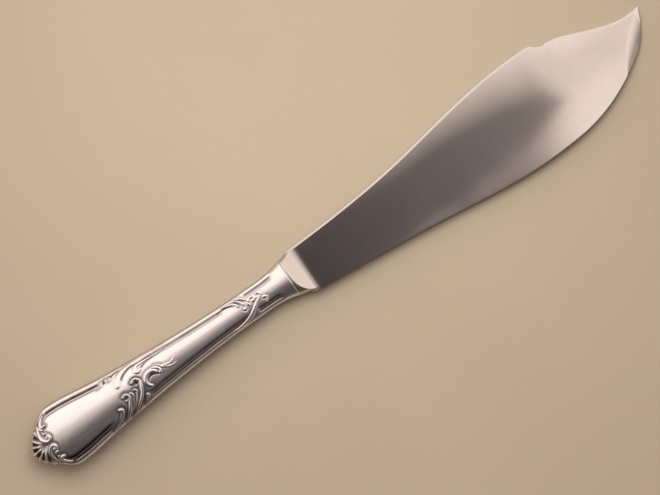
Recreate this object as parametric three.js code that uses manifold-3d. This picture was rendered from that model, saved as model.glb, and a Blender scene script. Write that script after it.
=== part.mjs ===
// A cake knife with a hollow silver handle, in millimetres.
// +X runs from the butt to the tip, +Y towards the back of the blade and +Z up
// from the blade's flat. The origin is the middle of the whole knife.
import * as THREE from 'three';
import { mergeVertices } from 'three/addons/utils/BufferGeometryUtils.js';
import Module from 'manifold-3d';

const wasm = await Module();
wasm.setup();

// Lengths along the knife
const HANDLE_LENGTH = 115;
const BLADE_LENGTH = 165;
const JOINT_LINE = 0.15;

// Handle seen from above: half-widths, and where they lie from the butt or the mouth
const SCALLOP_AT = 6;
const SCALLOP_HALF_WIDTH = 7.4;
const SHOULDER_AT = 14;
const SHOULDER_HALF_WIDTH = 12.4;
const BODY_AT = 36;
const BODY_HALF_WIDTH = 9.9;
const NECK_FROM_MOUTH = 18;
const NECK_HALF_WIDTH = 6;
const MOUTH_HALF_WIDTH = 7.7;

// Handle seen from the side
const SCALLOP_HALF_HEIGHT = 4.3;
const BELLY_AT = 24;
const BELLY_HALF_HEIGHT = 7;
const NECK_HALF_HEIGHT = 4.4;
const MOUTH_HALF_HEIGHT = 5.2;
const SECTION_POWER = 2.3;

// Slopes of those outlines, in millimetres per millimetre
const SCALLOP_FLARE = 0.95;
const SCALLOP_RISE = 0.45;
const BODY_TAPER = -0.1;
const MOUTH_FLARE = 0.36;
const MOUTH_RISE = 0.16;

// Struck sheet, its border of bead, groove and thread, and the seam
const SHEET = 0.6;
const BEAD_WIDTH = 1.6;
const GROOVE_WIDTH = 0.65;
const GROOVE_DEPTH = 0.3;
const THREAD_WIDTH = 0.4;
const BORDER_START = 8;
const BORDER_STOP_FROM_MOUTH = 4.5;
const BORDER_FADE = 2;
const SOLDER_THICKNESS = 0.2;
const SOLDER_SET_BACK = 0.05;

// Relief: the shell's flutes on the butt, and the scrolls
const FLUTE_COUNT = 7;
const FLUTE_SPREAD = THREE.MathUtils.degToRad(162);
const FLUTE_FOCUS = 6.6;
const FLUTE_ROOT_RADIUS = 1.9;
const FLUTE_ROOT_HALF_WIDTH = 0.2;
const FLUTE_RIM_HALF_WIDTH = 1.15;
const FLUTE_RISE = 0.55;
const SCROLL_RISE = 0.8;
const CURL_TIGHTENING = 0.35;
const CURL_STEP = THREE.MathUtils.degToRad(45);
const STROKE_POINT = 0.25;
const ROCAILLE_AT = 44.8;
const NECK_SCROLL_FROM_MOUTH = 16.1;

// Inside the handle
const CAVITY_START = 3.2;
const CAP_SET_BACK = 0.3;
const CAP_THICKNESS = 1.2;
const FIT_GAP = 0.3;
const TANG_LENGTH = 72;
const TANG_ROOT_WIDTH = 7;
const TANG_END_WIDTH = 3.6;
const TANG_ROOT_THICKNESS = 3.6;
const TANG_END_THICKNESS = 2.2;
const TANG_NOTCH_COUNT = 4;
const TANG_NOTCH_RADIUS = 0.9;
const TANG_NOTCH_PITCH = 12;

// Bolster and heel, measured from the bolster's face
const BOLSTER_HALF_WIDTH = 7.6;
const BOLSTER_HALF_HEIGHT = 5.1;
const FACET_START = 1.3;
const FACET_ANGLE = THREE.MathUtils.degToRad(37);
const FACET_FILLET = 3.6;
const FACET_SINK = 0.06;
const FACET_RUN_OUT_ANGLE = THREE.MathUtils.degToRad(30);
const HEEL_COVER = 0.45;
const PLATE_ROOT = 2;
const PLATE_ROOT_HALF_WIDTH = 6.8;

// Blade outline: the back, its crest and notch, and the edge with its belly
const HEEL_BACK_AT = 5;
const HEEL_BACK_Y = 8.9;
const HEEL_EDGE_AT = 7;
const HEEL_EDGE_Y = -9.9;
const MID_BACK_Y = 13.4;
const MID_EDGE_Y = -14.4;
const CREST_FROM_TIP = 49.3;
const CREST_Y = 20.4;
const NOTCH_FROM_TIP = 42.4;
const NOTCH_Y = 20.1;
const NOTCH_LENGTH = 4.7;
const NOTCH_DROP = 2.65;
const SLOPE_FROM_TIP = 24;
const SLOPE_Y = 13.8;
const HOLLOW_FROM_TIP = 5.5;
const HOLLOW_Y = 8.7;
const TIP_Y = 9.2;
const BELLY_EDGE_FROM_TIP = 62;
const BELLY_EDGE_Y = -19.4;
const SWEEP_FROM_TIP = 26;
const SWEEP_Y = -13.7;
const POINT_FROM_TIP = 9;
const POINT_Y = -5.4;
const TIP_BLUNT = 0.15;

// Blade section
const HEEL_HALF_THICKNESS = 1.25;
const TIP_HALF_THICKNESS = 0.5;
const EDGE_HALF_THICKNESS = 0.12;
const HEEL_BEVEL_WIDTH = 2;
const BEVEL_WIDTH = 9;
const BEVEL_FULL_AT = 40;
const BACK_ROUNDING = 1.6;

const MOUTH_X = (HANDLE_LENGTH - BLADE_LENGTH) / 2;
const BUTT_X = MOUTH_X - HANDLE_LENGTH;
const BOLSTER_X = MOUTH_X + JOINT_LINE;
const TIP_AT = BLADE_LENGTH - JOINT_LINE;
const LIP_Z = SOLDER_THICKNESS / 2;

const SILVER = { color: 0xd6d0c8, metalness: 1, roughness: 0.22 };
const STEEL = { color: 0x9a9592, metalness: 1, roughness: 0.34 };
const SOLDER = { color: 0xb4ada2, metalness: 1, roughness: 0.4 };
const CEMENT = { color: 0x54463a, metalness: 0, roughness: 0.9 };

// Smooth curve through knots of place, value and slope, read at one place.
function follow(knots, at) {
  let last = 1;
  while (last < knots.length - 1 && at > knots[last][0]) {
    last += 1;
  }
  const [x0, y0, slope0] = knots[last - 1];
  const [x1, y1, slope1] = knots[last];
  const span = x1 - x0;
  const u = (at - x0) / span;
  const rise = u * u * (3 - 2 * u);
  const lead = u * (1 - u) * (1 - u);
  const trail = u * u * (u - 1);
  return y0 + (y1 - y0) * rise + span * (slope0 * lead + slope1 * trail);
}

function evenSteps(start, end, count) {
  return Array.from({ length: count + 1 }, (_, i) => start + ((end - start) * i) / count);
}

// Triangles that close one flat ring, listed in the ring's own direction.
function capTriangles(ring) {
  const normal = new THREE.Vector3();
  for (let i = 0; i < ring.length; i += 1) {
    normal.add(new THREE.Vector3().crossVectors(ring[i], ring[(i + 1) % ring.length]));
  }
  normal.normalize();
  const across = new THREE.Vector3().subVectors(ring[1], ring[0]).normalize();
  const up = new THREE.Vector3().crossVectors(normal, across);
  const flat = ring.map((p) => new THREE.Vector2(p.dot(across), p.dot(up)));
  const turn = (a, b, c) => (b.x - a.x) * (c.y - a.y) - (b.y - a.y) * (c.x - a.x);
  return THREE.ShapeUtils.triangulateShape(flat, []).map(([a, b, c]) =>
    turn(flat[a], flat[b], flat[c]) > 0 ? [a, b, c] : [a, c, b],
  );
}

// Closed body through rings of equal count, with flat ends.
function loft(rings) {
  const count = rings[0].length;
  const index = [];
  for (let i = 0; i < rings.length - 1; i += 1) {
    for (let j = 0; j < count; j += 1) {
      const a = i * count + j;
      const b = i * count + ((j + 1) % count);
      index.push(a, b, b + count, a, b + count, a + count);
    }
  }
  const end = rings.length - 1;
  capTriangles(rings[0]).forEach(([a, b, c]) => index.push(a, c, b));
  capTriangles(rings[end]).forEach((corners) => index.push(...corners.map((corner) => end * count + corner)));
  const points = rings.flat();
  let volume = 0;
  for (let k = 0; k < index.length; k += 3) {
    const [a, b, c] = [points[index[k]], points[index[k + 1]], points[index[k + 2]]];
    volume += a.dot(new THREE.Vector3().crossVectors(b, c));
  }
  const geometry = new THREE.BufferGeometry().setFromPoints(points);
  geometry.setIndex(volume < 0 ? index.reverse() : index);
  return geometry;
}

function toSolid(geometry) {
  const bare = geometry.clone();
  bare.deleteAttribute('normal');
  bare.deleteAttribute('uv');
  const merged = mergeVertices(bare);
  return new wasm.Manifold(
    new wasm.Mesh({
      numProp: 3,
      vertProperties: Float32Array.from(merged.attributes.position.array),
      triVerts: Uint32Array.from(merged.index.array),
    }),
  );
}

function toGeometry(solid) {
  const mesh = solid.getMesh();
  const geometry = new THREE.BufferGeometry();
  geometry.setAttribute('position', new THREE.BufferAttribute(mesh.vertProperties, 3));
  geometry.setIndex(new THREE.BufferAttribute(mesh.triVerts, 1));
  geometry.computeVertexNormals();
  return geometry;
}

function box(x0, x1, y0, y1, z0, z1) {
  const geometry = new THREE.BoxGeometry(x1 - x0, y1 - y0, z1 - z0);
  return geometry.translate((x0 + x1) / 2, (y0 + y1) / 2, (z0 + z1) / 2);
}

function piece(name, geometry, finish) {
  const mesh = new THREE.Mesh(geometry, new THREE.MeshStandardMaterial(finish));
  mesh.name = name;
  return mesh;
}

// Handle surface

const HANDLE_PLAN = [
  [SCALLOP_AT, SCALLOP_HALF_WIDTH, SCALLOP_FLARE],
  [SHOULDER_AT, SHOULDER_HALF_WIDTH, 0],
  [BODY_AT, BODY_HALF_WIDTH, BODY_TAPER],
  [HANDLE_LENGTH - NECK_FROM_MOUTH, NECK_HALF_WIDTH, 0],
  [HANDLE_LENGTH, MOUTH_HALF_WIDTH, MOUTH_FLARE],
];
const HANDLE_SIDE = [
  [SCALLOP_AT, SCALLOP_HALF_HEIGHT, SCALLOP_RISE],
  [BELLY_AT, BELLY_HALF_HEIGHT, 0],
  [HANDLE_LENGTH - NECK_FROM_MOUTH, NECK_HALF_HEIGHT, 0],
  [HANDLE_LENGTH, MOUTH_HALF_HEIGHT, MOUTH_RISE],
];

// Share of the butt's round nose that is reached at a distance from the butt.
function nose(at) {
  return Math.sqrt(Math.max(at - FLUTE_RISE, 0) / (SCALLOP_AT - FLUTE_RISE));
}

function handleHalfWidth(at) {
  return at < SCALLOP_AT ? SCALLOP_HALF_WIDTH * nose(at) : follow(HANDLE_PLAN, at);
}

function handleHalfHeight(at) {
  return at < SCALLOP_AT ? SCALLOP_HALF_HEIGHT * nose(at) : follow(HANDLE_SIDE, at);
}

function sectionHeight(share) {
  return (1 - Math.min(Math.abs(share), 1) ** SECTION_POWER) ** (1 / SECTION_POWER);
}

function surfaceHeight(at, y) {
  const halfWidth = Math.max(handleHalfWidth(at), 1e-6);
  return handleHalfHeight(at) * sectionHeight(y / halfWidth);
}

function surfacePoint(at, y) {
  return new THREE.Vector3(BUTT_X + at, y, surfaceHeight(at, y));
}

function surfaceNormal(at, y) {
  const step = 0.05;
  const slopeX = (surfaceHeight(at + step, y) - surfaceHeight(at - step, y)) / (2 * step);
  const slopeY = (surfaceHeight(at, y + step) - surfaceHeight(at, y - step)) / (2 * step);
  return new THREE.Vector3(-slopeX, -slopeY, 1).normalize();
}

// Rows of the border from the outline inwards: inset, and depth below the plain surface.
const FIRST_GROOVE = BEAD_WIDTH + GROOVE_WIDTH / 2;
const THREAD_START = BEAD_WIDTH + GROOVE_WIDTH;
const SECOND_GROOVE = THREAD_START + THREAD_WIDTH + GROOVE_WIDTH / 2;
const PANEL_INSET = SECOND_GROOVE + GROOVE_WIDTH / 2;
const BORDER_ROWS = [
  [0, 0],
  [BEAD_WIDTH * 0.2, 0],
  [BEAD_WIDTH, 0],
  [FIRST_GROOVE, GROOVE_DEPTH],
  [THREAD_START, 0],
  [THREAD_START + THREAD_WIDTH, 0],
  [SECOND_GROOVE, GROOVE_DEPTH * 0.7],
  [PANEL_INSET, 0],
];
const PANEL_SHARES = [0.7, 0.38];

// Border depth fades in past the butt's scrolls and out before the mouth.
function borderStrength(at) {
  const rising = THREE.MathUtils.smoothstep(at, BORDER_START, BORDER_START + BORDER_FADE);
  const stop = HANDLE_LENGTH - BORDER_STOP_FROM_MOUTH;
  return rising * (1 - THREE.MathUtils.smoothstep(at, stop - BORDER_FADE, stop));
}

// Section of the struck half: the bordered arch, carried down past the seam.
function archRing(at) {
  const halfWidth = handleHalfWidth(at);
  const narrowing = Math.min(1, halfWidth / SCALLOP_HALF_WIDTH);
  const strength = borderStrength(at);
  const rows = BORDER_ROWS.map(([inset, depth]) => {
    const y = halfWidth - inset * narrowing;
    return [y, Math.max(surfaceHeight(at, y) - depth * strength, 0)];
  });
  const panelHalfWidth = halfWidth - PANEL_INSET * narrowing;
  PANEL_SHARES.forEach((share) => {
    rows.push([panelHalfWidth * share, surfaceHeight(at, panelHalfWidth * share)]);
  });
  const x = BUTT_X + at;
  const left = rows.map(([y, z]) => new THREE.Vector3(x, y, z));
  const right = rows.map(([y, z]) => new THREE.Vector3(x, -y, z)).reverse();
  const foot = -SHEET;
  return [
    new THREE.Vector3(x, halfWidth, foot),
    ...left,
    surfacePoint(at, 0),
    ...right,
    new THREE.Vector3(x, -halfWidth, foot),
  ];
}

// Full oval section of the handle, drawn in by an inset.
function ovalRing(at, inset) {
  const count = 18;
  const halfWidth = handleHalfWidth(at) - inset;
  const halfHeight = handleHalfHeight(at) - inset;
  const power = 2 / SECTION_POWER;
  const bulge = (value) => Math.sign(value) * Math.abs(value) ** power;
  return Array.from({ length: count }, (_, i) => {
    const angle = (2 * Math.PI * i) / count;
    const y = halfWidth * bulge(Math.cos(angle));
    const z = halfHeight * bulge(Math.sin(angle));
    return new THREE.Vector3(BUTT_X + at, y, z);
  });
}

const NOSE_STATIONS = evenSteps(0.1, 1, 5).map((u) => FLUTE_RISE + (SCALLOP_AT - FLUTE_RISE) * u * u);
const NECK_AT = HANDLE_LENGTH - NECK_FROM_MOUTH;
const HANDLE_STATIONS = [
  ...NOSE_STATIONS,
  ...evenSteps(SCALLOP_AT, SHOULDER_AT, 5).slice(1),
  ...evenSteps(SHOULDER_AT, BODY_AT, 6).slice(1),
  ...evenSteps(BODY_AT, NECK_AT, 7).slice(1),
  ...evenSteps(NECK_AT, HANDLE_LENGTH, 6).slice(1),
];
const INNER_STATIONS = [
  ...evenSteps(CAVITY_START, SHOULDER_AT, 5),
  ...evenSteps(SHOULDER_AT, BODY_AT, 4).slice(1),
  ...evenSteps(BODY_AT, NECK_AT, 6).slice(1),
  ...evenSteps(NECK_AT, HANDLE_LENGTH, 4).slice(1),
];

// Relief

// Raised rib along points of the handle's surface, thick as its half-width says at each share.
function rib(points, halfWidthAt, rise) {
  const sides = 4;
  const rings = points.map(([at, y], i) => {
    const [atBefore, yBefore] = points[Math.max(i - 1, 0)];
    const [atAfter, yAfter] = points[Math.min(i + 1, points.length - 1)];
    const along = surfacePoint(atAfter, yAfter).sub(surfacePoint(atBefore, yBefore)).normalize();
    const out = surfaceNormal(at, y);
    out.addScaledVector(along, -out.dot(along)).normalize();
    const across = new THREE.Vector3().crossVectors(out, along);
    const halfWidth = halfWidthAt(i / (points.length - 1));
    return Array.from({ length: sides }, (_, k) => {
      const angle = Math.PI / 2 + (2 * Math.PI * k) / sides;
      return surfacePoint(at, y)
        .addScaledVector(across, halfWidth * Math.cos(angle))
        .addScaledVector(out, rise * halfWidth * Math.sin(angle));
    });
  });
  return toSolid(loft(rings));
}

// Distance from the flutes' focus to the outline, in one direction.
function rimDistance(angle) {
  let near = 0;
  let far = SHOULDER_HALF_WIDTH;
  for (let i = 0; i < 30; i += 1) {
    const middle = (near + far) / 2;
    const at = FLUTE_FOCUS - middle * Math.cos(angle);
    const inside = at > FLUTE_RISE && Math.abs(middle * Math.sin(angle)) < handleHalfWidth(at);
    near = inside ? middle : near;
    far = inside ? far : middle;
  }
  return near;
}

function flute(angle) {
  const rim = rimDistance(angle) * 0.998;
  const points = evenSteps(0, 1, 4).map((u) => {
    const radius = FLUTE_ROOT_RADIUS + (rim - FLUTE_ROOT_RADIUS) * (1 - (1 - u) ** 2);
    return [FLUTE_FOCUS - radius * Math.cos(angle), radius * Math.sin(angle)];
  });
  const width = (u) => THREE.MathUtils.lerp(FLUTE_ROOT_HALF_WIDTH, FLUTE_RIM_HALF_WIDTH, u);
  return rib(points, width, FLUTE_RISE / FLUTE_RIM_HALF_WIDTH);
}

// A scroll has stem points, each a distance from the anchor and a share of the half-width,
// then a curl of one radius and turn, where a positive turn goes left. Its half-width
// grows from root to head.
const BUTT_SCROLLS = [1, -1].flatMap((side) => [
  {
    anchor: 0,
    stem: [[7.6, 0.94 * side], [5.8, 0.74 * side], [5.9, 0.43 * side], [7.1, 0.16 * side]],
    curl: 1.25,
    turn: 230 * side,
    half: [0.4, 0.6],
  },
  {
    anchor: 0,
    stem: [[16.4, 0.93 * side], [11.9, 0.92 * side], [9.1, 0.87 * side], [8.2, 0.74 * side]],
    curl: 1,
    turn: 170 * side,
    half: [0.4, 0.6],
  },
]);
const ROCAILLE_FRONDS = [0, 2.2, 4].map((shift) => ({
  anchor: ROCAILLE_AT + shift,
  stem: [[-10.4 + shift / 5, -0.88], [-6.3, -0.66], [-3.4, -0.34], [-3.1, -0.14]],
  curl: 0.85,
  turn: 130,
  half: [0.38, 0.55],
}));
const ROCAILLE_SCROLLS = [
  {
    anchor: ROCAILLE_AT,
    stem: [[16.8, 0.9], [7.5, 0.86], [0.7, 0.77], [-3.6, 0.6], [-5.2, 0.38]],
    curl: 1.1,
    turn: 120,
    half: [0.35, 0.85],
  },
  {
    anchor: ROCAILLE_AT,
    stem: [[-14.2, -0.86], [-10.1, -0.71], [-7.8, -0.53]],
    curl: 1,
    turn: 170,
    half: [0.4, 0.65],
  },
  {
    anchor: ROCAILLE_AT,
    stem: [[-4.6, -0.9], [-0.2, -0.74], [2.8, -0.43], [4, -0.05], [3.5, 0.18]],
    curl: 1.2,
    turn: 130,
    half: [0.4, 0.75],
  },
  {
    anchor: ROCAILLE_AT,
    stem: [[6.4, -0.41], [5.2, -0.27], [5.1, -0.05], [6.5, 0.17], [8.7, 0.24], [10.4, 0.13]],
    curl: 1,
    turn: -150,
    half: [0.5, 0.6],
  },
  {
    anchor: ROCAILLE_AT,
    stem: [[11.8, 0.2], [13.3, 0.04], [15.7, -0.08], [17.9, -0.06], [19.4, 0.09]],
    curl: 0,
    turn: 0,
    half: [0.5, 0.25],
  },
];
const NECK_SCROLLS = [
  {
    anchor: HANDLE_LENGTH - NECK_SCROLL_FROM_MOUTH,
    stem: [[-12.3, -0.74], [-5.6, -0.72], [-1.5, -0.54], [1.1, -0.2], [2.6, 0.14]],
    curl: 0,
    turn: 0,
    half: [0.35, 0.5],
  },
  {
    anchor: HANDLE_LENGTH - NECK_SCROLL_FROM_MOUTH,
    stem: [[-10.1, 0.82], [-6, 0.72], [-4.1, 0.36]],
    curl: 0,
    turn: 0,
    half: [0.3, 0.45],
  },
  {
    anchor: HANDLE_LENGTH - NECK_SCROLL_FROM_MOUTH,
    stem: [[-6.7, 0.86], [-3, 0.7], [-1.3, 0.42]],
    curl: 0,
    turn: 0,
    half: [0.3, 0.45],
  },
];

function scroll({ anchor, stem, curl, turn, half }) {
  const corners = stem.map(([along, share]) => {
    const at = anchor + along;
    return new THREE.Vector2(at, share * handleHalfWidth(at));
  });
  const curve = new THREE.SplineCurve(corners);
  const points = curve.getSpacedPoints(stem.length + 1).map((p) => [p.x, p.y]);
  const stepAngle = CURL_STEP * Math.sign(turn);
  const stepCount = Math.round(THREE.MathUtils.degToRad(Math.abs(turn)) / CURL_STEP);
  let heading = curve.getTangent(1).angle();
  for (let i = 0; i < stepCount; i += 1) {
    const radius = curl * (1 - (CURL_TIGHTENING * i) / stepCount);
    const [at, y] = points[points.length - 1];
    const chord = 2 * radius * Math.sin(CURL_STEP / 2);
    const middle = heading + stepAngle / 2;
    points.push([at + chord * Math.cos(middle), y + chord * Math.sin(middle)]);
    heading += stepAngle;
  }
  const [root, head] = half;
  const ending = (u) => (u === 0 || u === 1 ? STROKE_POINT : 1);
  const width = (u) => THREE.MathUtils.lerp(root, head, u) * ending(u);
  return rib(points, width, SCROLL_RISE);
}

function struckHalf() {
  const flutes = evenSteps(-FLUTE_SPREAD / 2, FLUTE_SPREAD / 2, FLUTE_COUNT - 1).map(flute);
  const scrolls = [...BUTT_SCROLLS, ...ROCAILLE_FRONDS, ...ROCAILLE_SCROLLS, ...NECK_SCROLLS].map(scroll);
  const raised = [...flutes, ...scrolls];
  const relief = raised.reduce((body, rise) => body.add(rise), toSolid(loft(HANDLE_STATIONS.map(archRing))));
  const reach = SHOULDER_HALF_WIDTH + MOUTH_HALF_WIDTH;
  const depth = BELLY_HALF_HEIGHT;
  const below = box(BUTT_X - reach, MOUTH_X + reach, -reach, reach, -depth, LIP_Z);
  return relief.subtract(cavity(SHEET, 1)).subtract(toSolid(below));
}

// Inside of the handle, drawn in from the outline and run past the mouth by an overrun.
function cavity(inset, overrun) {
  return toSolid(loft([...INNER_STATIONS, HANDLE_LENGTH + overrun].map((at) => ovalRing(at, inset))));
}

function solderLine() {
  const outer = HANDLE_STATIONS.map((at) => [BUTT_X + at, handleHalfWidth(at) - SOLDER_SET_BACK]);
  const inner = INNER_STATIONS.map((at) => [BUTT_X + at, handleHalfWidth(at) - SHEET]);
  const mirror = (points) => points.map(([x, y]) => [x, -y]);
  const outline = [
    ...[...outer].reverse(),
    ...mirror(outer),
    ...mirror(inner).reverse(),
    ...inner,
  ].map(([x, y]) => new THREE.Vector2(x, y));
  const line = new THREE.ExtrudeGeometry(new THREE.Shape(outline), {
    depth: SOLDER_THICKNESS,
    bevelEnabled: false,
  });
  return toGeometry(toSolid(line.translate(0, 0, -SOLDER_THICKNESS / 2)));
}

// Tapered bar of the tang, grown by a gap all round; it starts inside the bolster.
function tangBar(gap) {
  const root = BOLSTER_X + PLATE_ROOT;
  const end = BOLSTER_X - TANG_LENGTH - gap;
  const corner = (x, width, thickness) => {
    const y = width / 2 + gap;
    const z = thickness / 2 + gap;
    return [[y, z], [-y, z], [-y, -z], [y, -z]].map(([cy, cz]) => new THREE.Vector3(x, cy, cz));
  };
  return toSolid(
    loft([
      corner(end, TANG_END_WIDTH, TANG_END_THICKNESS),
      corner(BOLSTER_X, TANG_ROOT_WIDTH, TANG_ROOT_THICKNESS),
      corner(root, TANG_ROOT_WIDTH, TANG_ROOT_THICKNESS),
    ]),
  );
}

function notchedTang() {
  const halfWidth = (back) => THREE.MathUtils.lerp(TANG_ROOT_WIDTH, TANG_END_WIDTH, back / TANG_LENGTH) / 2;
  let tang = tangBar(0);
  for (let i = 0; i < TANG_NOTCH_COUNT; i += 1) {
    const back = TANG_LENGTH - TANG_NOTCH_PITCH * (i + 0.75);
    const side = i % 2 === 0 ? 1 : -1;
    const reach = 2 * TANG_ROOT_THICKNESS;
    const cutter = new THREE.CylinderGeometry(TANG_NOTCH_RADIUS, TANG_NOTCH_RADIUS, reach, 10);
    cutter.rotateX(Math.PI / 2).translate(BOLSTER_X - back, side * halfWidth(back), 0);
    tang = tang.subtract(toSolid(cutter));
  }
  return tang;
}

function mouthCap() {
  const front = HANDLE_LENGTH - CAP_SET_BACK;
  const rings = [front - CAP_THICKNESS, front].map((at) => ovalRing(at, SHEET + FIT_GAP));
  return toGeometry(toSolid(loft(rings)).subtract(tangBar(FIT_GAP)));
}

function cementCore() {
  const end = HANDLE_LENGTH - CAP_SET_BACK - CAP_THICKNESS - FIT_GAP;
  const start = CAVITY_START + FIT_GAP;
  const inside = INNER_STATIONS.filter((at) => at > start && at < end);
  const core = toSolid(loft([start, ...inside, end].map((at) => ovalRing(at, SHEET + FIT_GAP))));
  return toGeometry(core.subtract(tangBar(FIT_GAP)));
}

// Blade

const CREST_AT = TIP_AT - CREST_FROM_TIP;
const NOTCH_AT = TIP_AT - NOTCH_FROM_TIP;
const BELLY_EDGE_AT = TIP_AT - BELLY_EDGE_FROM_TIP;
const BACK_TO_NOTCH = [
  [PLATE_ROOT, PLATE_ROOT_HALF_WIDTH, 1.3],
  [HEEL_BACK_AT, HEEL_BACK_Y, 0.03],
  [(HEEL_BACK_AT + CREST_AT) / 2, MID_BACK_Y, 0.16],
  [CREST_AT, CREST_Y, 0],
  [NOTCH_AT, NOTCH_Y, -0.15],
];
const BACK_TO_TIP = [
  [NOTCH_AT, NOTCH_Y, -0.9],
  [NOTCH_AT + NOTCH_LENGTH, NOTCH_Y - NOTCH_DROP, 0.08],
  [TIP_AT - SLOPE_FROM_TIP, SLOPE_Y, -0.42],
  [TIP_AT - HOLLOW_FROM_TIP, HOLLOW_Y, 0],
  [TIP_AT, TIP_Y, 0.2],
];
const EDGE = [
  [PLATE_ROOT, -PLATE_ROOT_HALF_WIDTH, -1.2],
  [HEEL_EDGE_AT, HEEL_EDGE_Y, -0.08],
  [(HEEL_EDGE_AT + BELLY_EDGE_AT) / 2, MID_EDGE_Y, -0.11],
  [BELLY_EDGE_AT, BELLY_EDGE_Y, 0],
  [TIP_AT - SWEEP_FROM_TIP, SWEEP_Y, 0.33],
  [TIP_AT - POINT_FROM_TIP, POINT_Y, 0.68],
  [TIP_AT, TIP_Y, 3],
];

function backY(at) {
  return follow(at <= NOTCH_AT ? BACK_TO_NOTCH : BACK_TO_TIP, at);
}

function edgeY(at) {
  return follow(EDGE, at);
}

function flatHalfThickness(at) {
  return THREE.MathUtils.lerp(HEEL_HALF_THICKNESS, TIP_HALF_THICKNESS, at / TIP_AT);
}

// The bevel starts narrow at the heel and soon reaches its full width.
function bevelWidth(at) {
  const grown = THREE.MathUtils.smoothstep(at, HEEL_EDGE_AT, BEVEL_FULL_AT);
  return THREE.MathUtils.lerp(HEEL_BEVEL_WIDTH, BEVEL_WIDTH, grown);
}

// Section of the blade: blunt edge, long bevel, flat, and a rounded back.
function bladeRing(at) {
  const back = backY(at);
  const edge = edgeY(at);
  const fullWidth = bevelWidth(at) + BACK_ROUNDING;
  const share = Math.min(1, (back - edge) / fullWidth);
  const bevel = bevelWidth(at) * share;
  const rounding = BACK_ROUNDING * share;
  const flat = THREE.MathUtils.lerp(EDGE_HALF_THICKNESS, flatHalfThickness(at), share);
  const upper = [
    [edge, EDGE_HALF_THICKNESS],
    [edge + bevel * 0.5, THREE.MathUtils.lerp(EDGE_HALF_THICKNESS, flat, 0.68)],
    [edge + bevel, flat],
    [back - rounding, flat],
    [back - rounding * 0.4, flat * 0.85],
    [back, flat * 0.5],
  ];
  const lower = upper.map(([y, z]) => [y, -z]).reverse();
  return [...upper, ...lower].map(([y, z]) => new THREE.Vector3(BOLSTER_X + at, y, z));
}

function bladePlate() {
  const stations = [
    ...evenSteps(PLATE_ROOT, HEEL_EDGE_AT, 6),
    ...evenSteps(HEEL_EDGE_AT, CREST_AT, 12).slice(1),
    ...evenSteps(CREST_AT, NOTCH_AT, 3).slice(1),
    ...evenSteps(NOTCH_AT, NOTCH_AT + NOTCH_LENGTH, 5).slice(1),
    ...evenSteps(NOTCH_AT + NOTCH_LENGTH, TIP_AT - HOLLOW_FROM_TIP, 10).slice(1),
    ...evenSteps(TIP_AT - HOLLOW_FROM_TIP, TIP_AT - TIP_BLUNT, 6).slice(1),
  ];
  return toSolid(loft(stations.map(bladeRing)));
}

// Side view of the heel's slope: down from the bolster, filleted to the flat, then sunk into it.
const FACET_FLOOR = flatHalfThickness(HEEL_EDGE_AT) - FACET_SINK;
const FACET_CORNER = FACET_START + (BOLSTER_HALF_HEIGHT - FACET_FLOOR) / Math.tan(FACET_ANGLE);
const FACET_TANGENT = FACET_FILLET * Math.tan(FACET_ANGLE / 2);
const FACET_END = FACET_CORNER + FACET_TANGENT;
const BOLSTER_LENGTH = FACET_END + (FACET_FLOOR - EDGE_HALF_THICKNESS) / Math.tan(FACET_RUN_OUT_ANGLE);

function bolsterRing(at) {
  const count = 32;
  const back = follow([[0, BOLSTER_HALF_WIDTH, 0.2], [BOLSTER_LENGTH, HEEL_BACK_Y - HEEL_COVER, 0]], at);
  const edge = follow([[0, -BOLSTER_HALF_WIDTH, -0.2], [BOLSTER_LENGTH, HEEL_EDGE_Y + HEEL_COVER, -0.1]], at);
  return Array.from({ length: count }, (_, i) => {
    const angle = (2 * Math.PI * i) / count;
    const y = (back + edge) / 2 + ((back - edge) / 2) * Math.cos(angle);
    return new THREE.Vector3(BOLSTER_X + at, y, BOLSTER_HALF_HEIGHT * Math.sin(angle));
  });
}

function facetCut() {
  const top = 2 * BOLSTER_HALF_HEIGHT;
  const past = 2 * BOLSTER_LENGTH;
  const down = 1.5 * Math.PI;
  const side = new THREE.Shape();
  side.moveTo(FACET_CORNER - (top - FACET_FLOOR) / Math.tan(FACET_ANGLE), top);
  side.lineTo(
    FACET_CORNER - FACET_TANGENT * Math.cos(FACET_ANGLE),
    FACET_FLOOR + FACET_TANGENT * Math.sin(FACET_ANGLE),
  );
  side.absarc(FACET_END, FACET_FLOOR + FACET_FILLET, FACET_FILLET, down - FACET_ANGLE, down);
  side.lineTo(BOLSTER_LENGTH, EDGE_HALF_THICKNESS);
  side.lineTo(past, EDGE_HALF_THICKNESS);
  side.lineTo(past, top);
  const depth = 4 * BOLSTER_HALF_WIDTH;
  const cut = new THREE.ExtrudeGeometry(side, { depth, bevelEnabled: false, curveSegments: 5 });
  return cut.rotateX(Math.PI / 2).translate(BOLSTER_X, depth / 2, 0);
}

function forgedBlade() {
  const bolster = toSolid(loft(evenSteps(0, BOLSTER_LENGTH, 5).map(bolsterRing)));
  const shoulders = bolster.subtract(toSolid(facetCut())).subtract(toSolid(facetCut().rotateX(Math.PI)));
  return toGeometry(shoulders.add(bladePlate()).add(notchedTang()));
}

const frontShell = piece('handle_front_shell', toGeometry(struckHalf()), SILVER);
// The back is a second strike of the same die, turned over about the knife's length.
const backShell = piece('handle_back_shell', frontShell.geometry, SILVER);
backShell.rotation.x = Math.PI;

const knife = new THREE.Group();
knife.add(
  piece('blade', forgedBlade(), STEEL),
  frontShell,
  backShell,
  piece('seam_solder', solderLine(), SOLDER),
  piece('mouth_cap', mouthCap(), SILVER),
  piece('handle_cement', cementCore(), CEMENT),
);

export default knife;
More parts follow.
